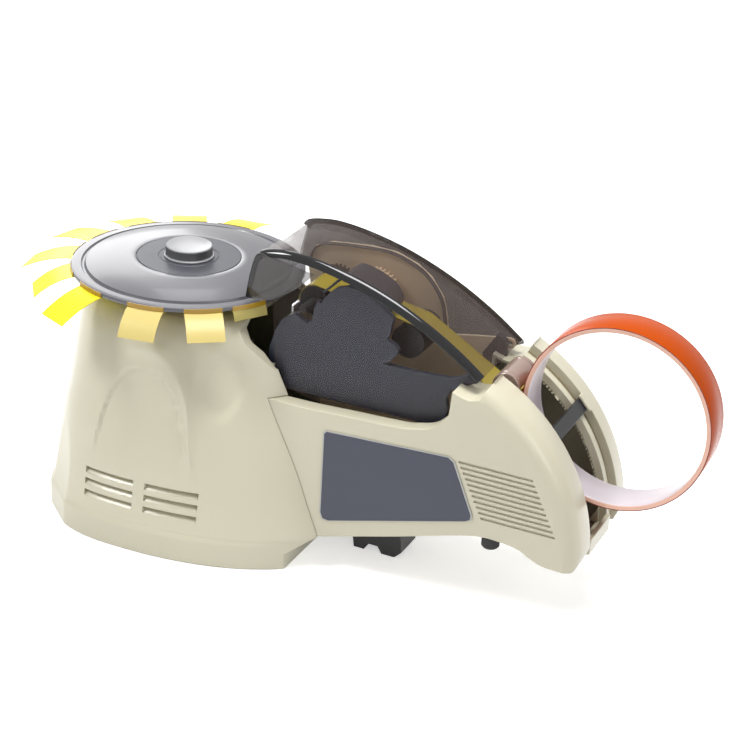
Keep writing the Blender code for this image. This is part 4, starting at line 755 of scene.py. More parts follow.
    def slot_end(self, finishes: dict[str, bpy.types.Material]) -> list[bpy.types.Object]:
        """Ivory lip across the slot's end, and a dark sheet on the slot's floor that paints the shade there."""
        room = self.slot - 0.0004
        lip = new_piece("slot_lip", prism(self.lip_outline, -room, room), finishes["ivory_plastic"])
        soften(lip, 0.0006, 2)
        # A thin dark-brown sheet on the slot's floor stands in for the shade in the deep slot: painted shade.
        low = [point for point in shifted(self.bottom(), self.wall + 0.0002) if 0.235 < point[0] < 0.3035]
        shade_sheet = new_piece("slot_lining", prism(low + list(reversed(shifted(low, 0.0006))), -room, room),
                           finishes["floor_brown"])
        for piece in (lip, shade_sheet):
            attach(piece, "housing")
        return [lip, shade_sheet]

    def grip(self, row: int) -> bmesh.types.BMesh:
        """Cut of one rounded groove in the near face."""
        left = 0.226 + 0.0018 * row
        top = 0.1065 - 0.0036 * row
        half = 0.0009
        outline = arc((left + 0.051 - half, top - half), half, -90, 90, 6)
        outline += arc((left + half, top - half), half, 90, 270, 6)
        return prism(outline, -self.half_width - 0.01, -self.half_width + 0.0012)

    def name_plate(self, finishes: dict[str, bpy.types.Material]) -> list[bpy.types.Object]:
        """Bare plate with a thin pale bezel."""
        corners = scaled(self.plate_shares, self.low, self.high)
        middle = Vector((sum(x for x, _ in corners), sum(z for _, z in corners))) / len(corners)
        face = -self.half_width - 0.0003
        inner = [tuple(middle + (Vector(c) - middle) * 0.978) for c in corners]
        bezel = new_piece("name_plate_bezel", prism(corners, face - 0.0005, face), finishes["bezel_pale"])
        plate = new_piece("name_plate_field", prism(inner, face - 0.0009, face - 0.0003), finishes["plate_blue"])
        for piece in (bezel, plate):
            soften(piece, 0.0003, 2)
            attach(piece, "housing")
            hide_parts("name_plate")
        return [bezel, plate]

    def build(self, finishes: dict[str, bpy.types.Material]) -> list[bpy.types.Object]:
        """Build both lobes, the slot's end and the plate."""
        return [self.shell(side, finishes) for side in Side] + self.slot_end(finishes) + self.name_plate(finishes)


ARM = Arm()


@dataclass
class Carousel:
    """Disc, label disc, knob and tape strips."""

    disc_radius: float = 0.080
    rim_z: float = 0.1764
    strip_width: float = 0.025
    strip_film: float = 0.0005
    strip_grip: float = 0.016
    strip_reach: float = 0.045
    strips: tuple[tuple[float, float, float, float], ...] = (
        (96.0, 0.95, 0, 20), (119.5, 0.95, 0, 20), (143.0, 0.92, 0, 20), (168.0, 0.88, 0, 18),
        (192.0, 0.88, 2, 30), (216.0, 0.66, 10, 44), (245.0, 0.72, 10, 36), (279.0, 0.50, 16, 62),
        (306.5, 0.50, 12, 52), (329.5, 0.15, 55, 80))
    strip_steps: int = 24

    def disc(self, finishes: dict[str, bpy.types.Material]) -> bpy.types.Object:
        """Grey cone disc with a grooved rim."""
        rim, top, z = self.disc_radius, self.rim_z + 0.0054, self.rim_z
        under, seat, edge = z - 0.0030, z + 0.0045, 0.0009
        profile = [(0.0043, 0.1683), (0.012, 0.1683), (0.012, seat - 0.003), (0.039, seat - 0.003),
                   (rim * 0.84, under), (rim - edge, under), (rim - edge * 0.3, under + edge * 0.3),
                   (rim, under + edge), (rim, z - edge), (rim - edge * 0.3, z - edge * 0.3), (rim - edge, z),
                   (rim * 0.955, z + 0.0002), (rim * 0.915, z + 0.0004), (rim * 0.909, z - 0.0003),
                   (rim * 0.903, z - 0.0008), (rim * 0.887, z - 0.0008), (rim * 0.880, z - 0.0001),
                   (rim * 0.873, z + 0.0010), (rim * 0.80, z + 0.0024), (rim * 0.65, z + 0.0043),
                   (0.0412, top - 0.0004), (0.0366, top), (0.0360, top - 0.0002), (0.0360, seat), (0.0043, seat)]
        piece = new_piece("carousel_cone_disc", turned(profile, (0, 0, 0), steps=160), finishes["grey_plastic"])
        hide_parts("carousel_disc")
        return piece

    def label(self, finishes: dict[str, bpy.types.Material]) -> bpy.types.Object:
        """Bare label disc round the knob."""
        low = self.rim_z + 0.0048
        profile = [(0.0080, low), (0.0355, low), (0.0357, low + 0.0003), (0.0353, low + 0.0007),
                   (0.0212, low + 0.0007), (0.0208, low + 0.0004), (0.0200, low + 0.0004), (0.0196, low + 0.0007),
                   (0.0080, low + 0.0007)]
        piece = new_piece("carousel_label", turned(profile, (0, 0, 0), steps=160), finishes["label_grey"])
        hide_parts("carousel_label_disc")
        return piece

    def knob(self, finishes: dict[str, bpy.types.Material]) -> bpy.types.Object:
        """Dished knob with a thin foot ring."""
        low = self.rim_z + 0.0058
        high = low + 0.0078
        r = 0.017
        profile = [(0.0043, low), (r * 1.0, low), (r * 1.0, low + 0.0008), (r * 0.965, low + 0.0011),
                   (r * 0.95, low + 0.0016), (r * 0.935, high - 0.0018), (r * 0.925, high - 0.0006),
                   (r * 0.895, high), (r * 0.865, high - 0.0001), (r * 0.82, high - 0.0006),
                   (r * 0.62, high - 0.0015), (r * 0.35, high - 0.0019), (0, high - 0.0020),
                   (0, high - 0.0029), (0.0043, high - 0.0029)]
        piece = new_piece("carousel_grip_knob", turned(profile, (0, 0, 0), steps=128), finishes["knob_grey"])
        # The knob's upright side takes a much darker copy of its grey: painted shade.
        piece.data.materials.append(finishes["knob_side"])
        for face in piece.data.polygons:
            if abs(face.normal.z) < 0.4 and face.center.z > low + 0.0012:
                face.material_index = 1
        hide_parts("carousel_knob")
        return piece

    def strip(self, index: int, finishes: dict[str, bpy.types.Material]) -> bpy.types.Object:
        """One strip of film, curling down from under the rim."""
        turn_deg, share, first_deg, last_deg = self.strips[index]
        top = self.rim_z - 0.0033
        steps = self.strip_steps
        reach = self.strip_reach * share / steps
        line = [(self.disc_radius - self.strip_grip, top), (self.disc_radius - 0.006, top), (self.disc_radius, top)]
        for step in range(1, steps + 1):
            slope = math.radians(first_deg + (last_deg - first_deg) * ((step - 0.5) / steps) ** 0.8)
            line.append((line[-1][0] + reach * math.cos(slope), line[-1][1] - reach * math.sin(slope)))
        outline = shifted(line, -self.strip_film) + list(reversed(line))
        half = self.strip_width / 2
        shape = prism(outline, -half, half)
        bmesh.ops.rotate(shape, verts=shape.verts, matrix=Matrix.Rotation(math.radians(turn_deg), 3, "Z"))
        # Strips 8 and 9 take a paler copy of the yellow film, a painted sheen where they face the light; strip 10
        # takes a darker copy, painted shade.
        finish = finishes[{7: "pale_tape", 8: "pale_tape", 9: "dusky_tape"}.get(index, "yellow_tape")]
        piece = new_piece(f"strip_film_{index + 1:02d}", shape, finish, 50)
        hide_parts(f"tape_strip_{index + 1:02d}")
        return piece

    def wrap(self, index: int, finishes: dict[str, bpy.types.Material]) -> bpy.types.Object:
        """Amber end of one strip, stuck up the side of the rim; its darker amber is partly the doubled film and partly
        painted shade under the rim.
        """
        turn_deg = self.strips[index][0]
        half_deg = math.degrees(math.asin(self.strip_width / 2 / self.disc_radius))
        inner = arc((0.0, 0.0), self.disc_radius + 0.0001, turn_deg - half_deg, turn_deg + half_deg, 10)
        outer = arc((0.0, 0.0), self.disc_radius + 0.0004, turn_deg + half_deg, turn_deg - half_deg, 10)
        piece = new_piece(f"strip_wrap_{index + 1:02d}", prism(inner + outer, self.rim_z - 0.0033, self.rim_z, "XY"),
                          finishes["wrap_amber"], 50)
        return piece

    def build(self, finishes: dict[str, bpy.types.Material]) -> list[bpy.types.Object]:
        """Build the carousel's visible pieces."""
        pieces = [self.disc(finishes), self.label(finishes), self.knob(finishes)]
        pieces += [self.wrap(index, finishes) for index in range(len(self.strips))]
        pieces += [self.strip(index, finishes) for index in range(len(self.strips))]
        for piece in pieces:
            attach(piece, "carousel")
        return pieces


@dataclass
class Hood:
    """Smoked hood with its thick dark edge bands."""

    low: Point2 = (0.065, 0.116)
    high: Point2 = (0.233, 0.216)
    half_width: float = 0.0375
    wall: float = 0.0022
    rounding: float = 0.0045
    top_shares: tuple[Point2, ...] = (
        (0.030, 0.930), (0.053, 0.970), (0.124, 0.995), (0.201, 1.000), (0.320, 0.975), (0.462, 0.920),
        (0.600, 0.840), (0.744, 0.730), (0.886, 0.590), (1.000, 0.450))
    bottom_shares: tuple[Point2, ...] = (
        (0.970, 0.385), (0.910, 0.385), (0.872, 0.335), (0.869, 0.150), (0.827, 0.095), (0.774, 0.062),
        (0.702, 0.042), (0.494, 0.028), (0.298, 0.010), (0.137, 0.080), (0.113, 0.655), (0.066, 0.632),
        (0.012, 0.632), (0.0, 0.655))
    end_line: tuple[Point2, ...] = ((0.0745, 0.2125), (0.0705, 0.2090), (0.0668, 0.1950), (0.0645, 0.1797))
    end_thick: float = 0.0036
    visor_line: tuple[Point2, ...] = ((0.0718, 0.1792), (0.0835, 0.1819), (0.0964, 0.1897), (0.1069, 0.1984),
                                      (0.1130, 0.2058))

    def top(self) -> list[Point2]:
        """Top line from left to right."""
        return flowing(scaled(self.top_shares, self.low, self.high), 6)

    def bottom(self) -> list[Point2]:
        """Lower line from right to left."""
        points = scaled(self.bottom_shares, self.low, self.high)
        return points[:3] + flowing(points[3:9], 4) + points[9:]

    def shell(self) -> bpy.types.Object:
        """Hollow shell of the hood."""
        loops = []
        for step in range(9):
            turn = math.radians(step * 90 / 8)
            y = self.half_width - self.rounding * (1 - math.cos(turn))
            drop = self.rounding * (1 - math.sin(turn))
            lowered = [(x + (drop if index == 0 else 0), z - drop) for index, (x, z) in enumerate(self.top())]
            loops.append((y, lowered + self.bottom()))
        ordered = [(-y, line) for y, line in loops] + [(y, line) for y, line in reversed(loops)]
        outer = new_piece("hood_shell", skin([[(x, y, z) for x, z in line] for y, line in ordered]), None)
        line = shifted([(self.low[0], self.low[1] + 0.0655)] + self.top(), -self.wall)
        inner_loops = []
        inner = [(self.half_width - self.wall, 0.0027), (self.half_width - self.wall - 0.00135, 0.00081),
                 (self.half_width - self.wall - 0.00315, 0.0)]
        for y, drop in [(-y, d) for y, d in inner] + [(y, d) for y, d in reversed(inner)]:
            points = [(x, y, z - drop) for x, z in line]
            inner_loops.append(points + [(line[-1][0], y, 0.106), (line[0][0], y, 0.106)])
        carve(outer, [new_piece("hood_room", skin(inner_loops), None)])
        return outer

    def band(self, side: Side) -> bpy.types.Object:
        """Thick dark band along one top edge."""
        top = self.top()
        loops = []
        for index, point in enumerate(top):
            back = Vector(top[max(index - 1, 0)])
            ahead = Vector(top[min(index + 1, len(top) - 1)])
            along = (ahead - back).normalized()
            normal = Vector((-along.y, along.x))
            loop = []
            for radius, turns in ((0.0047, range(0, 91, 15)), (0.0030, range(90, -1, -15))):
                for turn in turns:
                    y = self.half_width - self.rounding + radius * math.cos(math.radians(turn))
                    lift = -self.rounding + radius * math.sin(math.radians(turn))
                    place = Vector(point) + normal * lift
                    loop.append((place.x, side.value * y, place.y))
            loops.append(loop)
        return new_piece(f"hood_band_{side.name.lower()}", skin(loops), None, 50)

    def end_edge(self, side: Side) -> bpy.types.Object:
        """Thick dark edge down the upright end of one side."""
        line = flowing(list(self.end_line), 5)
        outline = line + list(reversed(shifted(line, self.end_thick)))
        faces = sorted((side.value * (self.half_width - 0.0010), side.value * (self.half_width + 0.0012)))
        piece = new_piece(f"hood_end_edge_{side.name.lower()}", prism(outline, *faces), None)
        soften(piece, 0.0006, 2)
        return piece

    def visor(self) -> bpy.types.Object:
        """Lens-shaped second thickness at the upright end of the near side."""
        outline = list(self.end_line) + flowing(list(self.visor_line), 5)
        return new_piece("hood_visor", prism(outline, -self.half_width - 0.0011, -self.half_width - 0.0004), None)

    def build(self, finishes: dict[str, bpy.types.Material]) -> list[bpy.types.Object]:
        """Build the hood's pieces."""
        shell = self.shell()
        shell.data.materials.clear()
        shell.data.materials.append(finishes["smoked_plastic"])
        resharpen(shell, 40)
        shell.data.materials.append(finishes["smoked_top"])
        for face in shell.data.polygons:
            if abs(face.normal.y) < 0.5:
                face.material_index = 1
        bands = [self.band(side) for side in Side] + [self.end_edge(Side.NEAR)]
        for band in bands:
            band.data.materials.append(finishes["smoked_edge"])
        visor = self.visor()
        visor.data.materials.append(finishes["smoked_visor"])
        for piece in [shell, visor] + bands:
            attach(piece, "hood_cover")
            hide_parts("hood")
        return [shell, visor] + bands


@dataclass
class Feeder:
    """Plates of the feeder, the rim on the far one and the cover over the tape's path."""

    low: Point2 = (0.079, 0.0)
    high: Point2 = (0.226, 0.210)
    plate_y: float = 0.0295
    sheet: float = 0.0040
    rim_width: float = 0.0016
    rim_shares: tuple[Point2, ...] = (
        (0.700, 0.735), (0.690, 0.790), (0.665, 0.855), (0.600, 0.915), (0.530, 0.948), (0.422, 0.973),
        (0.299, 0.976), (0.102, 0.962), (0.020, 0.938), (-0.015, 0.885))
    near_outline: tuple[Point2, ...] = (
        (0.0800, 0.1180), (0.0800, 0.1440), (0.0842, 0.1577), (0.0890, 0.1674), (0.0984, 0.1732), (0.1073, 0.1688),
        (0.1108, 0.1718), (0.1126, 0.1821), (0.1145, 0.1868), (0.1168, 0.1845), (0.1195, 0.1893), (0.1228, 0.1935),
        (0.1276, 0.1980), (0.1360, 0.2010), (0.1460, 0.2000), (0.1560, 0.1955), (0.1640, 0.1895), (0.1687, 0.1859),
        (0.1676, 0.1807), (0.1666, 0.1742), (0.1647, 0.1710), (0.1669, 0.1694), (0.1705, 0.1681), (0.1735, 0.1646),
        (0.1717, 0.1599), (0.1671, 0.1546), (0.1630, 0.1532), (0.1884, 0.1530), (0.2120, 0.1545))
    near_end: tuple[Point2, ...] = ((0.2112, 0.1456), (0.2082, 0.1392), (0.2101, 0.1325), (0.2092, 0.1258),
                                    (0.2040, 0.1180))
    ear_centre: Point2 = (0.226, 0.158)
    ear_radius: float = 0.0038
    cover_line: tuple[Point2, ...] = (
        (0.1160, 0.1898), (0.1215, 0.1949), (0.1270, 0.2010), (0.1325, 0.2040), (0.1435, 0.2015), (0.1524, 0.1975),
        (0.1570, 0.1940), (0.1600, 0.1885), (0.1595, 0.1838))
    cover_thick: float = 0.0014
    cover_span: tuple[float, float] = (-0.0290, -0.0015)
    guard_outline: tuple[Point2, ...] = ((0.2090, 0.1493), (0.2190, 0.1655), (0.2252, 0.1619), (0.2262, 0.1506),
                                         (0.2151, 0.1361), (0.2109, 0.1351))
    guard_span: tuple[float, float] = (0.0245, 0.0285)

    def near_plate(self) -> bpy.types.Object:
        """Near plate with its lobe and the ear that the hood turns on."""
        ear = arc(self.ear_centre, self.ear_radius, 90, -90, 8)
        outline = list(self.near_outline) + ear + list(self.near_end)
        plate = new_piece("feeder_near_plate_moulded",
                          prism(outline, -self.plate_y - self.sheet, -self.plate_y), None)
        soften(plate, 0.0004, 2)
        return plate

    def rim(self) -> bpy.types.Object:
        """Raised rim along the upper edge of the far plate."""
        line = flowing(scaled(self.rim_shares, self.low, self.high), 5)
        outline = shifted(line, 0.0003) + list(reversed(shifted(line, self.rim_width)))
        rim = new_piece("feeder_rim", prism(outline, self.plate_y - 0.0030, self.plate_y + 0.0005), None)
        soften(rim, 0.0004, 2)
        return rim

    def cover(self) -> bpy.types.Object:
        """Bent cover over the tape's path, open at both sides of it."""
        line = flowing(list(self.cover_line), 4)
        outline = line + list(reversed(shifted(line, self.cover_thick)))
        cover = new_piece("feeder_cover", prism(outline, *self.cover_span), None)
        soften(cover, 0.0003, 2)
        return cover

    def guard(self) -> bpy.types.Object:
        """Dark block beside the cutter, inside the far plate."""
        guard = new_piece("feeder_guard", prism(self.guard_outline, *self.guard_span), None)
        soften(guard, 0.0006, 2)
        return guard

    def build(self, finishes: dict[str, bpy.types.Material]) -> list[bpy.types.Object]:
        """Build the feeder's pieces."""
        plate, rim, cover, guard = self.near_plate(), self.rim(), self.cover(), self.guard()
        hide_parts("feeder_near_plate")
        for piece, finish, slot in ((plate, "feeder_dark", "dark_plastic"), (rim, "feeder_rim", "tan_plate"),
                                    (cover, "feeder_dark", "dark_plastic"), (guard, "feeder_dark", "dark_plastic")):
            piece.data.materials.append(finishes[finish])
            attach(piece, "housing")
        return [plate, rim, cover, guard]


@dataclass
class TapeRing:
    """Tape ring: pale core, amber film outside and dark film edge."""

    centre: Point3 = (0.3153, -0.0015, 0.1432)
    radius: float = 0.0624
    wall: float = 0.0034
    half_width: float = 0.0135
    film: float = 0.0007

    def build(self, finishes: dict[str, bpy.types.Material]) -> list[bpy.types.Object]:
        """Build the core and the film."""
        inner, split, w = self.radius - self.wall, self.radius - self.film, self.half_width
        core = [(inner, -w + 0.0003), (inner + 0.0003, -w), (split, -w), (split, w), (inner + 0.0003, w),
                (inner, w - 0.0003)]
        film = [(split, -w), (self.radius - 0.0001, -w), (self.radius, -w + 0.0002), (self.radius, w - 0.0002),
                (self.radius - 0.0001, w), (split, w)]
        made = [new_piece("ring_core", turned(core, self.centre, Axis.Y, 160), finishes["core_pale"], 50),
                new_piece("ring_film", turned(film, self.centre, Axis.Y, 160), finishes["amber_tape"], 50)]
        made[0].data.materials.append(finishes["core_side"])
        made[1].data.materials.append(finishes["film_side"])
        for piece in made:
            for face in piece.data.polygons:
                if abs(face.normal.y) > 0.6:
                    face.material_index = 1
            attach(piece, "ring")
            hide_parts("tape_ring")
        return made


@dataclass
class SlotParts:
    """Guide roller, slide bar and its clip."""

    guide: Point3 = (0.2414, 0.0, 0.149)
    guide_radius: float = 0.0092
    arc_centre: Point2 = (0.185, 0.046)
    bar_deg: float = 40.5

    def guide_roller(self, finishes: dict[str, bpy.types.Material]) -> bpy.types.Object:
        """Smooth roller on a thin shaft, with a shoulder at each end."""
        r = self.guide_radius
        half = [(0.0155, r - 0.0005), (0.0150, r), (0.0125, r), (0.0121, r - 0.0004), (0.0115, r - 0.0004),
                (0.0111, r)]
        right = [(radius, y) for y, radius in reversed(half)]
        left = [(radius, -y) for radius, y in reversed(right)]
        profile = [(0, -0.022), (0.0025, -0.022), (0.0025, -0.0155)] + left + right
        profile += [(0.0025, 0.0155), (0.0025, 0.022), (0, 0.022)]
        piece = new_piece("guide_roller_smooth", turned(profile, self.guide, Axis.Y, 96), finishes["roller_beige"])
        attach(piece, "guide_roll")
        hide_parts("guide_roller")
        return piece

    def slab(self, inner: float, outer: float, height: float) -> list[Point2]:
        """Outline of a slab that lies on the arc."""
        turn = math.radians(self.bar_deg)
        outward = Vector((math.cos(turn), math.sin(turn)))
        along = Vector((-outward.y, outward.x))
        centre = Vector(self.arc_centre)
        return [tuple(centre + outward * radius + along * (side * height / 2))
                for radius, side in ((inner, -1), (outer, -1), (outer, 1), (inner, 1))]

    def bar(self, finishes: dict[str, bpy.types.Material]) -> list[bpy.types.Object]:
        """Slide bar and the clip at its far end."""
        bar = new_piece("slide_bar_moulded", prism(self.slab(0.1223, 0.1253, 0.0095), -0.0197, 0.0345),
                        finishes["dark_plastic"])
        soften(bar, 0.0006, 3)
        clip = new_piece("bar_clip_moulded", prism(self.slab(0.1256, 0.1276, 0.0125), 0.0290, 0.0345),
                         finishes["ivory_plastic"])
        soften(clip, 0.0006, 3)
        for piece, node, slot in ((bar, "slide_bar", "dark_plastic"), (clip, "bar_clip", "ivory_plastic")):
            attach(piece, "bar")
            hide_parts(node)
        return [bar, clip]

    def build(self, finishes: dict[str, bpy.types.Material]) -> list[bpy.types.Object]:
        """Build the visible parts in the slot."""
        return [self.guide_roller(finishes)] + self.bar(finishes)


# Stage.


def shown_rays(tree: bpy.types.NodeTree) -> bpy.types.NodeSocket:
    """Mask of the rays that see the white background.

    Args:
        tree: Node tree that gets the nodes.

    Returns:
        Output that is 1 for camera, transmission and glossy rays.
    """
    path = tree.nodes.new("ShaderNodeLightPath")
    total = path.outputs["Is Camera Ray"]
    for name in ("Is Transmission Ray", "Is Glossy Ray"):
        adder = tree.nodes.new("ShaderNodeMath")
        adder.operation = "ADD"
        adder.use_clamp = True
        tree.links.new(total, adder.inputs[0])
        tree.links.new(path.outputs[name], adder.inputs[1])
        total = adder.outputs[0]
    return total


@dataclass
class Studio:
    """Camera, lamps, world and floor."""

    camera_place: Point3 = (0.615892, -1.085592, 0.681357)
    azimuth_deg: float = 23.52
    elevation_deg: float = 25.1
    roll_deg: float = 3.36
    focal_length: float = 93.92
    floor_size: float = 6.0
    floor_tone: float = 0.82
    floor_glow: float = 0.55
    world_light: float = 0.44
    lamps: tuple[tuple[str, Point3, float, float], ...] = (
        ("key_lamp", (-0.85, -0.75, 1.5), 0.45, 17.0),
        ("top_lamp", (0.25, 0.05, 1.6), 0.7, 24.0),
        ("side_lamp", (1.6, -0.7, 0.9), 0.8, 5.0),
        ("back_left_lamp", (-0.85, 0.95, 0.62), 0.6, 4.0),
        ("glint_lamp", (-0.50, 0.88, 1.22), 0.28, 1.0),
    )

    def build(self) -> None:
        """Set the stage."""
        self.make_camera()
        self.make_world()
        self.make_floor()
        for name, place, size, power in self.lamps:
            self.make_lamp(name, place, size, power)
        bpy.context.scene.view_settings.view_transform = "Standard"

    def make_camera(self) -> None:
        """Place the camera at the photograph's viewpoint."""
        azimuth = math.radians(self.azimuth_deg)
        elevation = math.radians(self.elevation_deg)
        roll = math.radians(self.roll_deg)
        level = Vector((math.cos(azimuth), math.sin(azimuth), 0))
        ahead = Vector((-math.sin(azimuth) * math.cos(elevation), math.cos(azimuth) * math.cos(elevation),
                        -math.sin(elevation)))
        upright = level.cross(ahead)
        right = level * math.cos(roll) + upright * math.sin(roll)
        up = upright * math.cos(roll) - level * math.sin(roll)
        lens = bpy.data.cameras.new("photo_camera")
        lens.lens = self.focal_length
        lens.sensor_width = 36.0
        lens.clip_start = 0.01
        lens.clip_end = 50.0
        camera = bpy.data.objects.new("photo_camera", lens)
        bpy.context.scene.collection.objects.link(camera)
        turn = Matrix((right, up, -ahead)).transposed()
        camera.matrix_world = Matrix.Translation(self.camera_place) @ turn.to_4x4()
        bpy.context.scene.camera = camera

    def make_world(self) -> None:
        """White world to the camera, plain light to the object."""
        world = bpy.data.worlds.new("studio_world")
        bpy.context.scene.world = world
        world.use_nodes = True
        tree = world.node_tree
        tree.nodes.clear()
        leave = tree.nodes.new("ShaderNodeOutputWorld")
        seen = tree.nodes.new("ShaderNodeBackground")
        seen.inputs["Strength"].default_value = 1.0
        seen.inputs["Color"].default_value = (1, 1, 1, 1)
        light = tree.nodes.new("ShaderNodeBackground")
        light.inputs["Strength"].default_value = self.world_light
        place = tree.nodes.new("ShaderNodeTexCoord")
        apart = tree.nodes.new("ShaderNodeSeparateXYZ")
        ramp = tree.nodes.new("ShaderNodeValToRGB")
        ramp.color_ramp.elements[0].position = 0.30
        ramp.color_ramp.elements[0].color = (0.28, 0.28, 0.30, 1)
        ramp.color_ramp.elements[1].position = 0.95
        ramp.color_ramp.elements[1].color = (1.0, 1.0, 1.0, 1)
        remap = tree.nodes.new("ShaderNodeMath")
        remap.operation = "MULTIPLY_ADD"
        remap.inputs[1].default_value = 0.5
        remap.inputs[2].default_value = 0.5
        tree.links.new(place.outputs["Generated"], apart.inputs[0])
        tree.links.new(apart.outputs["Z"], remap.inputs[0])
        tree.links.new(remap.outputs[0], ramp.inputs["Fac"])
        tree.links.new(ramp.outputs["Color"], light.inputs["Color"])
        mix = tree.nodes.new("ShaderNodeMixShader")
        tree.links.new(shown_rays(tree), mix.inputs["Fac"])
        tree.links.new(light.outputs[0], mix.inputs[1])
        tree.links.new(seen.outputs[0], mix.inputs[2])
        tree.links.new(mix.outputs[0], leave.inputs["Surface"])

    def make_floor(self) -> None:
        """White floor that keeps the object's shadow."""
        mesh = bmesh.new()
        bmesh.ops.create_grid(mesh, x_segments=1, y_segments=1, size=self.floor_size / 2)
        material = bpy.data.materials.new("studio_floor")
        material.use_nodes = True
        tree = material.node_tree
        shader = tree.nodes["Principled BSDF"]
        shader.inputs["Base Color"].default_value = (self.floor_tone, self.floor_tone, self.floor_tone, 1)
        shader.inputs["Roughness"].default_value = 0.9
        shader.inputs["Specular IOR Level"].default_value = 0.0
        shader.inputs["Emission Color"].default_value = (1, 1, 1, 1)
        seen = shown_rays(tree)
        strength = tree.nodes.new("ShaderNodeMath")
        strength.operation = "MULTIPLY"
        strength.inputs[1].default_value = self.floor_glow
        tree.links.new(seen, strength.inputs[0])
        tree.links.new(strength.outputs[0], shader.inputs["Emission Strength"])
        floor = new_piece("studio_floor", mesh, material)

    def make_lamp(self, name: str, place: Point3, size: float, power: float) -> None:
        """Add one soft lamp aimed at the object."""
        lamp = bpy.data.lights.new(name, "AREA")
        lamp.shape = "SQUARE"
        lamp.size = size
        lamp.energy = power
        item = bpy.data.objects.new(name, lamp)
        item.location = place
        aim = Vector((0.12, 0.0, 0.1)) - Vector(place)
        item.rotation_euler = aim.to_track_quat("-Z", "Y").to_euler()
        bpy.context.scene.collection.objects.link(item)


# Finishes of this object, as the photograph shows them.
IVORY: Colour = (0.545, 0.515, 0.390)


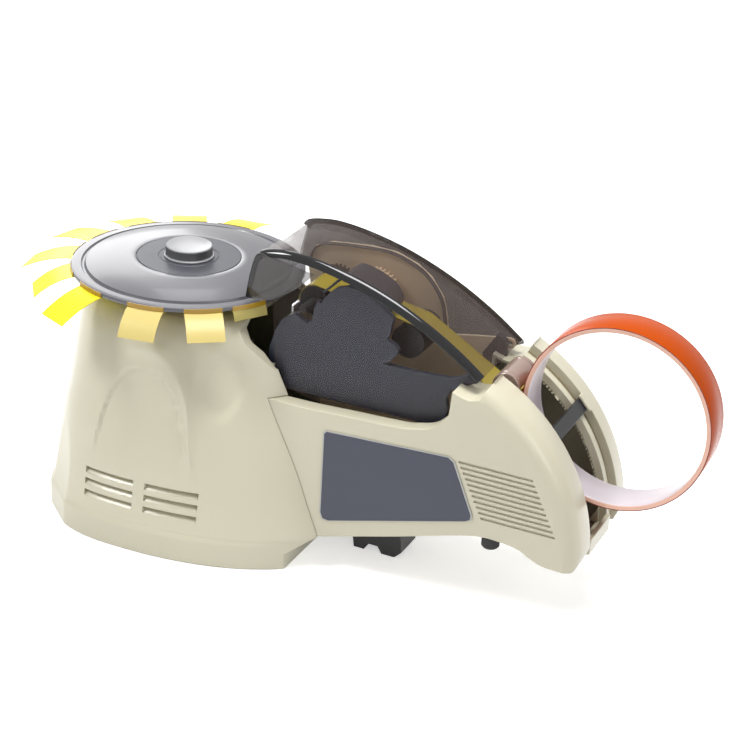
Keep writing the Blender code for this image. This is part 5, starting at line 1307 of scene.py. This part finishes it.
def make_finishes() -> dict[str, bpy.types.Material]:
    """Build every finish once."""
    kinds = [
        MouldedPlastic("ivory_plastic", IVORY, roughness=0.30, coat=0.15, edge_radius=0.0006),
        MouldedPlastic("dark_plastic", (0.012, 0.012, 0.014), roughness=0.42),
        MouldedPlastic("grey_plastic", (0.080, 0.080, 0.091), roughness=0.30, coat=0.25),
        MouldedPlastic("label_grey", (0.040, 0.042, 0.052), roughness=0.45),
        MouldedPlastic("rubber", (0.015, 0.015, 0.015), roughness=0.75, grain_depth=0.0001),
        MouldedPlastic("steel", (0.55, 0.55, 0.56), roughness=0.28, metallic=1.0),
        MouldedPlastic("tan_plate", (0.92, 0.74, 0.53), roughness=0.5),
        MouldedPlastic("plate_blue", (0.034, 0.038, 0.062), roughness=0.42),
        MouldedPlastic("feeder_dark", (0.021, 0.026, 0.042), roughness=0.45, grain_depth=0.00001),
        MouldedPlastic("feeder_rim", (0.060, 0.055, 0.062), roughness=0.35),
        MouldedPlastic("roller_beige", (0.26, 0.185, 0.150), roughness=0.20, coat=0.4),
        MouldedPlastic("gear_white", (0.72, 0.72, 0.68), roughness=0.4),
        MouldedPlastic("bezel_pale", (0.42, 0.42, 0.40), roughness=0.35),
        MouldedPlastic("knob_grey", (0.30, 0.30, 0.31), roughness=0.34),
        # Darker copy of the ivory for the far lobe's rim groove: painted shade.
        MouldedPlastic("groove_olive", (0.20, 0.165, 0.095), roughness=0.45),
        # Dark brown for the sheet on the slot's floor: painted shade.
        MouldedPlastic("floor_brown", (0.050, 0.028, 0.018), roughness=0.45),
        # Dark copy of the knob's grey for its upright side: painted shade.
        MouldedPlastic("knob_side", (0.055, 0.055, 0.060), roughness=0.34),
        MouldedPlastic("core_pale", (0.70, 0.63, 0.67), roughness=0.35, coat=0.2),
        MouldedPlastic("core_side", (0.74, 0.44, 0.34), roughness=0.4),
        MouldedPlastic("film_side", (0.17, 0.018, 0.008), roughness=0.4),
        ClearFilm("smoked_edge", (0.004, 0.004, 0.005), alpha=0.99, roughness=0.05, smudge_spread=0.01),
        # Paler and darker copies of the yellow tape film for single strips: painted sheen and painted shade.
        ClearFilm("pale_tape", (0.60, 0.49, 0.18), alpha=0.92, roughness=0.25, specular=0.2),
        ClearFilm("dusky_tape", (0.48, 0.40, 0.12), alpha=0.80, roughness=0.25),
        MouldedPlastic("board_green", (0.02, 0.16, 0.06), roughness=0.4),
        # The smoked far wall is made much denser than the near wall, more so to the right: painted shade.
        ClearFilm("smoked_plastic", (0.048, 0.028, 0.020), alpha=0.11, roughness=0.10, specular=0.35, far_alpha=0.80,
                  far_left_alpha=0.72),
        ClearFilm("smoked_top", (0.060, 0.036, 0.026), alpha=0.29, roughness=0.12, specular=0.25),
        ClearFilm("smoked_visor", (0.035, 0.026, 0.022), alpha=0.50, roughness=0.08, coat=0.5),
        ClearFilm("yellow_tape", (0.76, 0.66, 0.02), alpha=0.93, roughness=0.3, specular=0.2),
        # Darker amber for the strips' ends at the rim: partly the doubled film, partly painted shade under the rim.
        ClearFilm("wrap_amber", (0.42, 0.25, 0.015), alpha=0.96, roughness=0.2),
        # Darker mustard copy of the yellow tape for the feed tape: painted shade under the hood.
        ClearFilm("feed_film", (0.52, 0.40, 0.05), alpha=0.95, roughness=0.25),
        ClearFilm("amber_tape", (0.42, 0.058, 0.002), alpha=1.0, roughness=0.22, specular=0.06),
    ]
    return {kind.name: kind.build() for kind in kinds}


# The feed tape takes a darker mustard copy of the yellow tape film: painted shade under the hood.
OWN_FINISHES: dict[str, str] = {"drive_gear": "tan_plate", "feed_motor": "tan_plate", "feed_pinion": "tan_plate",
                                "feed_tape": "feed_film"}


def dress_nodes(finishes: dict[str, bpy.types.Material]) -> None:
    """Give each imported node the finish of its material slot."""
    for part in FRAME["record"]["subparts"]:
        node = NODES[part["node"]]
        node.data.materials.clear()
        node.data.materials.append(finishes[OWN_FINISHES.get(part["node"], part["material_slot"])])


def main() -> None:
    """Build every piece in order."""
    logging.basicConfig(level=logging.INFO, format="%(name)s %(message)s")
    Studio().build()
    finishes = make_finishes()
    dress_nodes(finishes)
    for name in sorted(NODES):
        LOG.info("node %s dressed", name)
    for assembly in (TowerHousing(), ARM, Carousel(), Hood(), Feeder(), TapeRing(), SlotParts()):
        made = assembly.build(finishes)
        for piece in made if isinstance(made, list) else [made]:
            LOG.info("%s has %d faces", piece.name, len(piece.data.polygons))


if __name__ == "__main__":
    main()
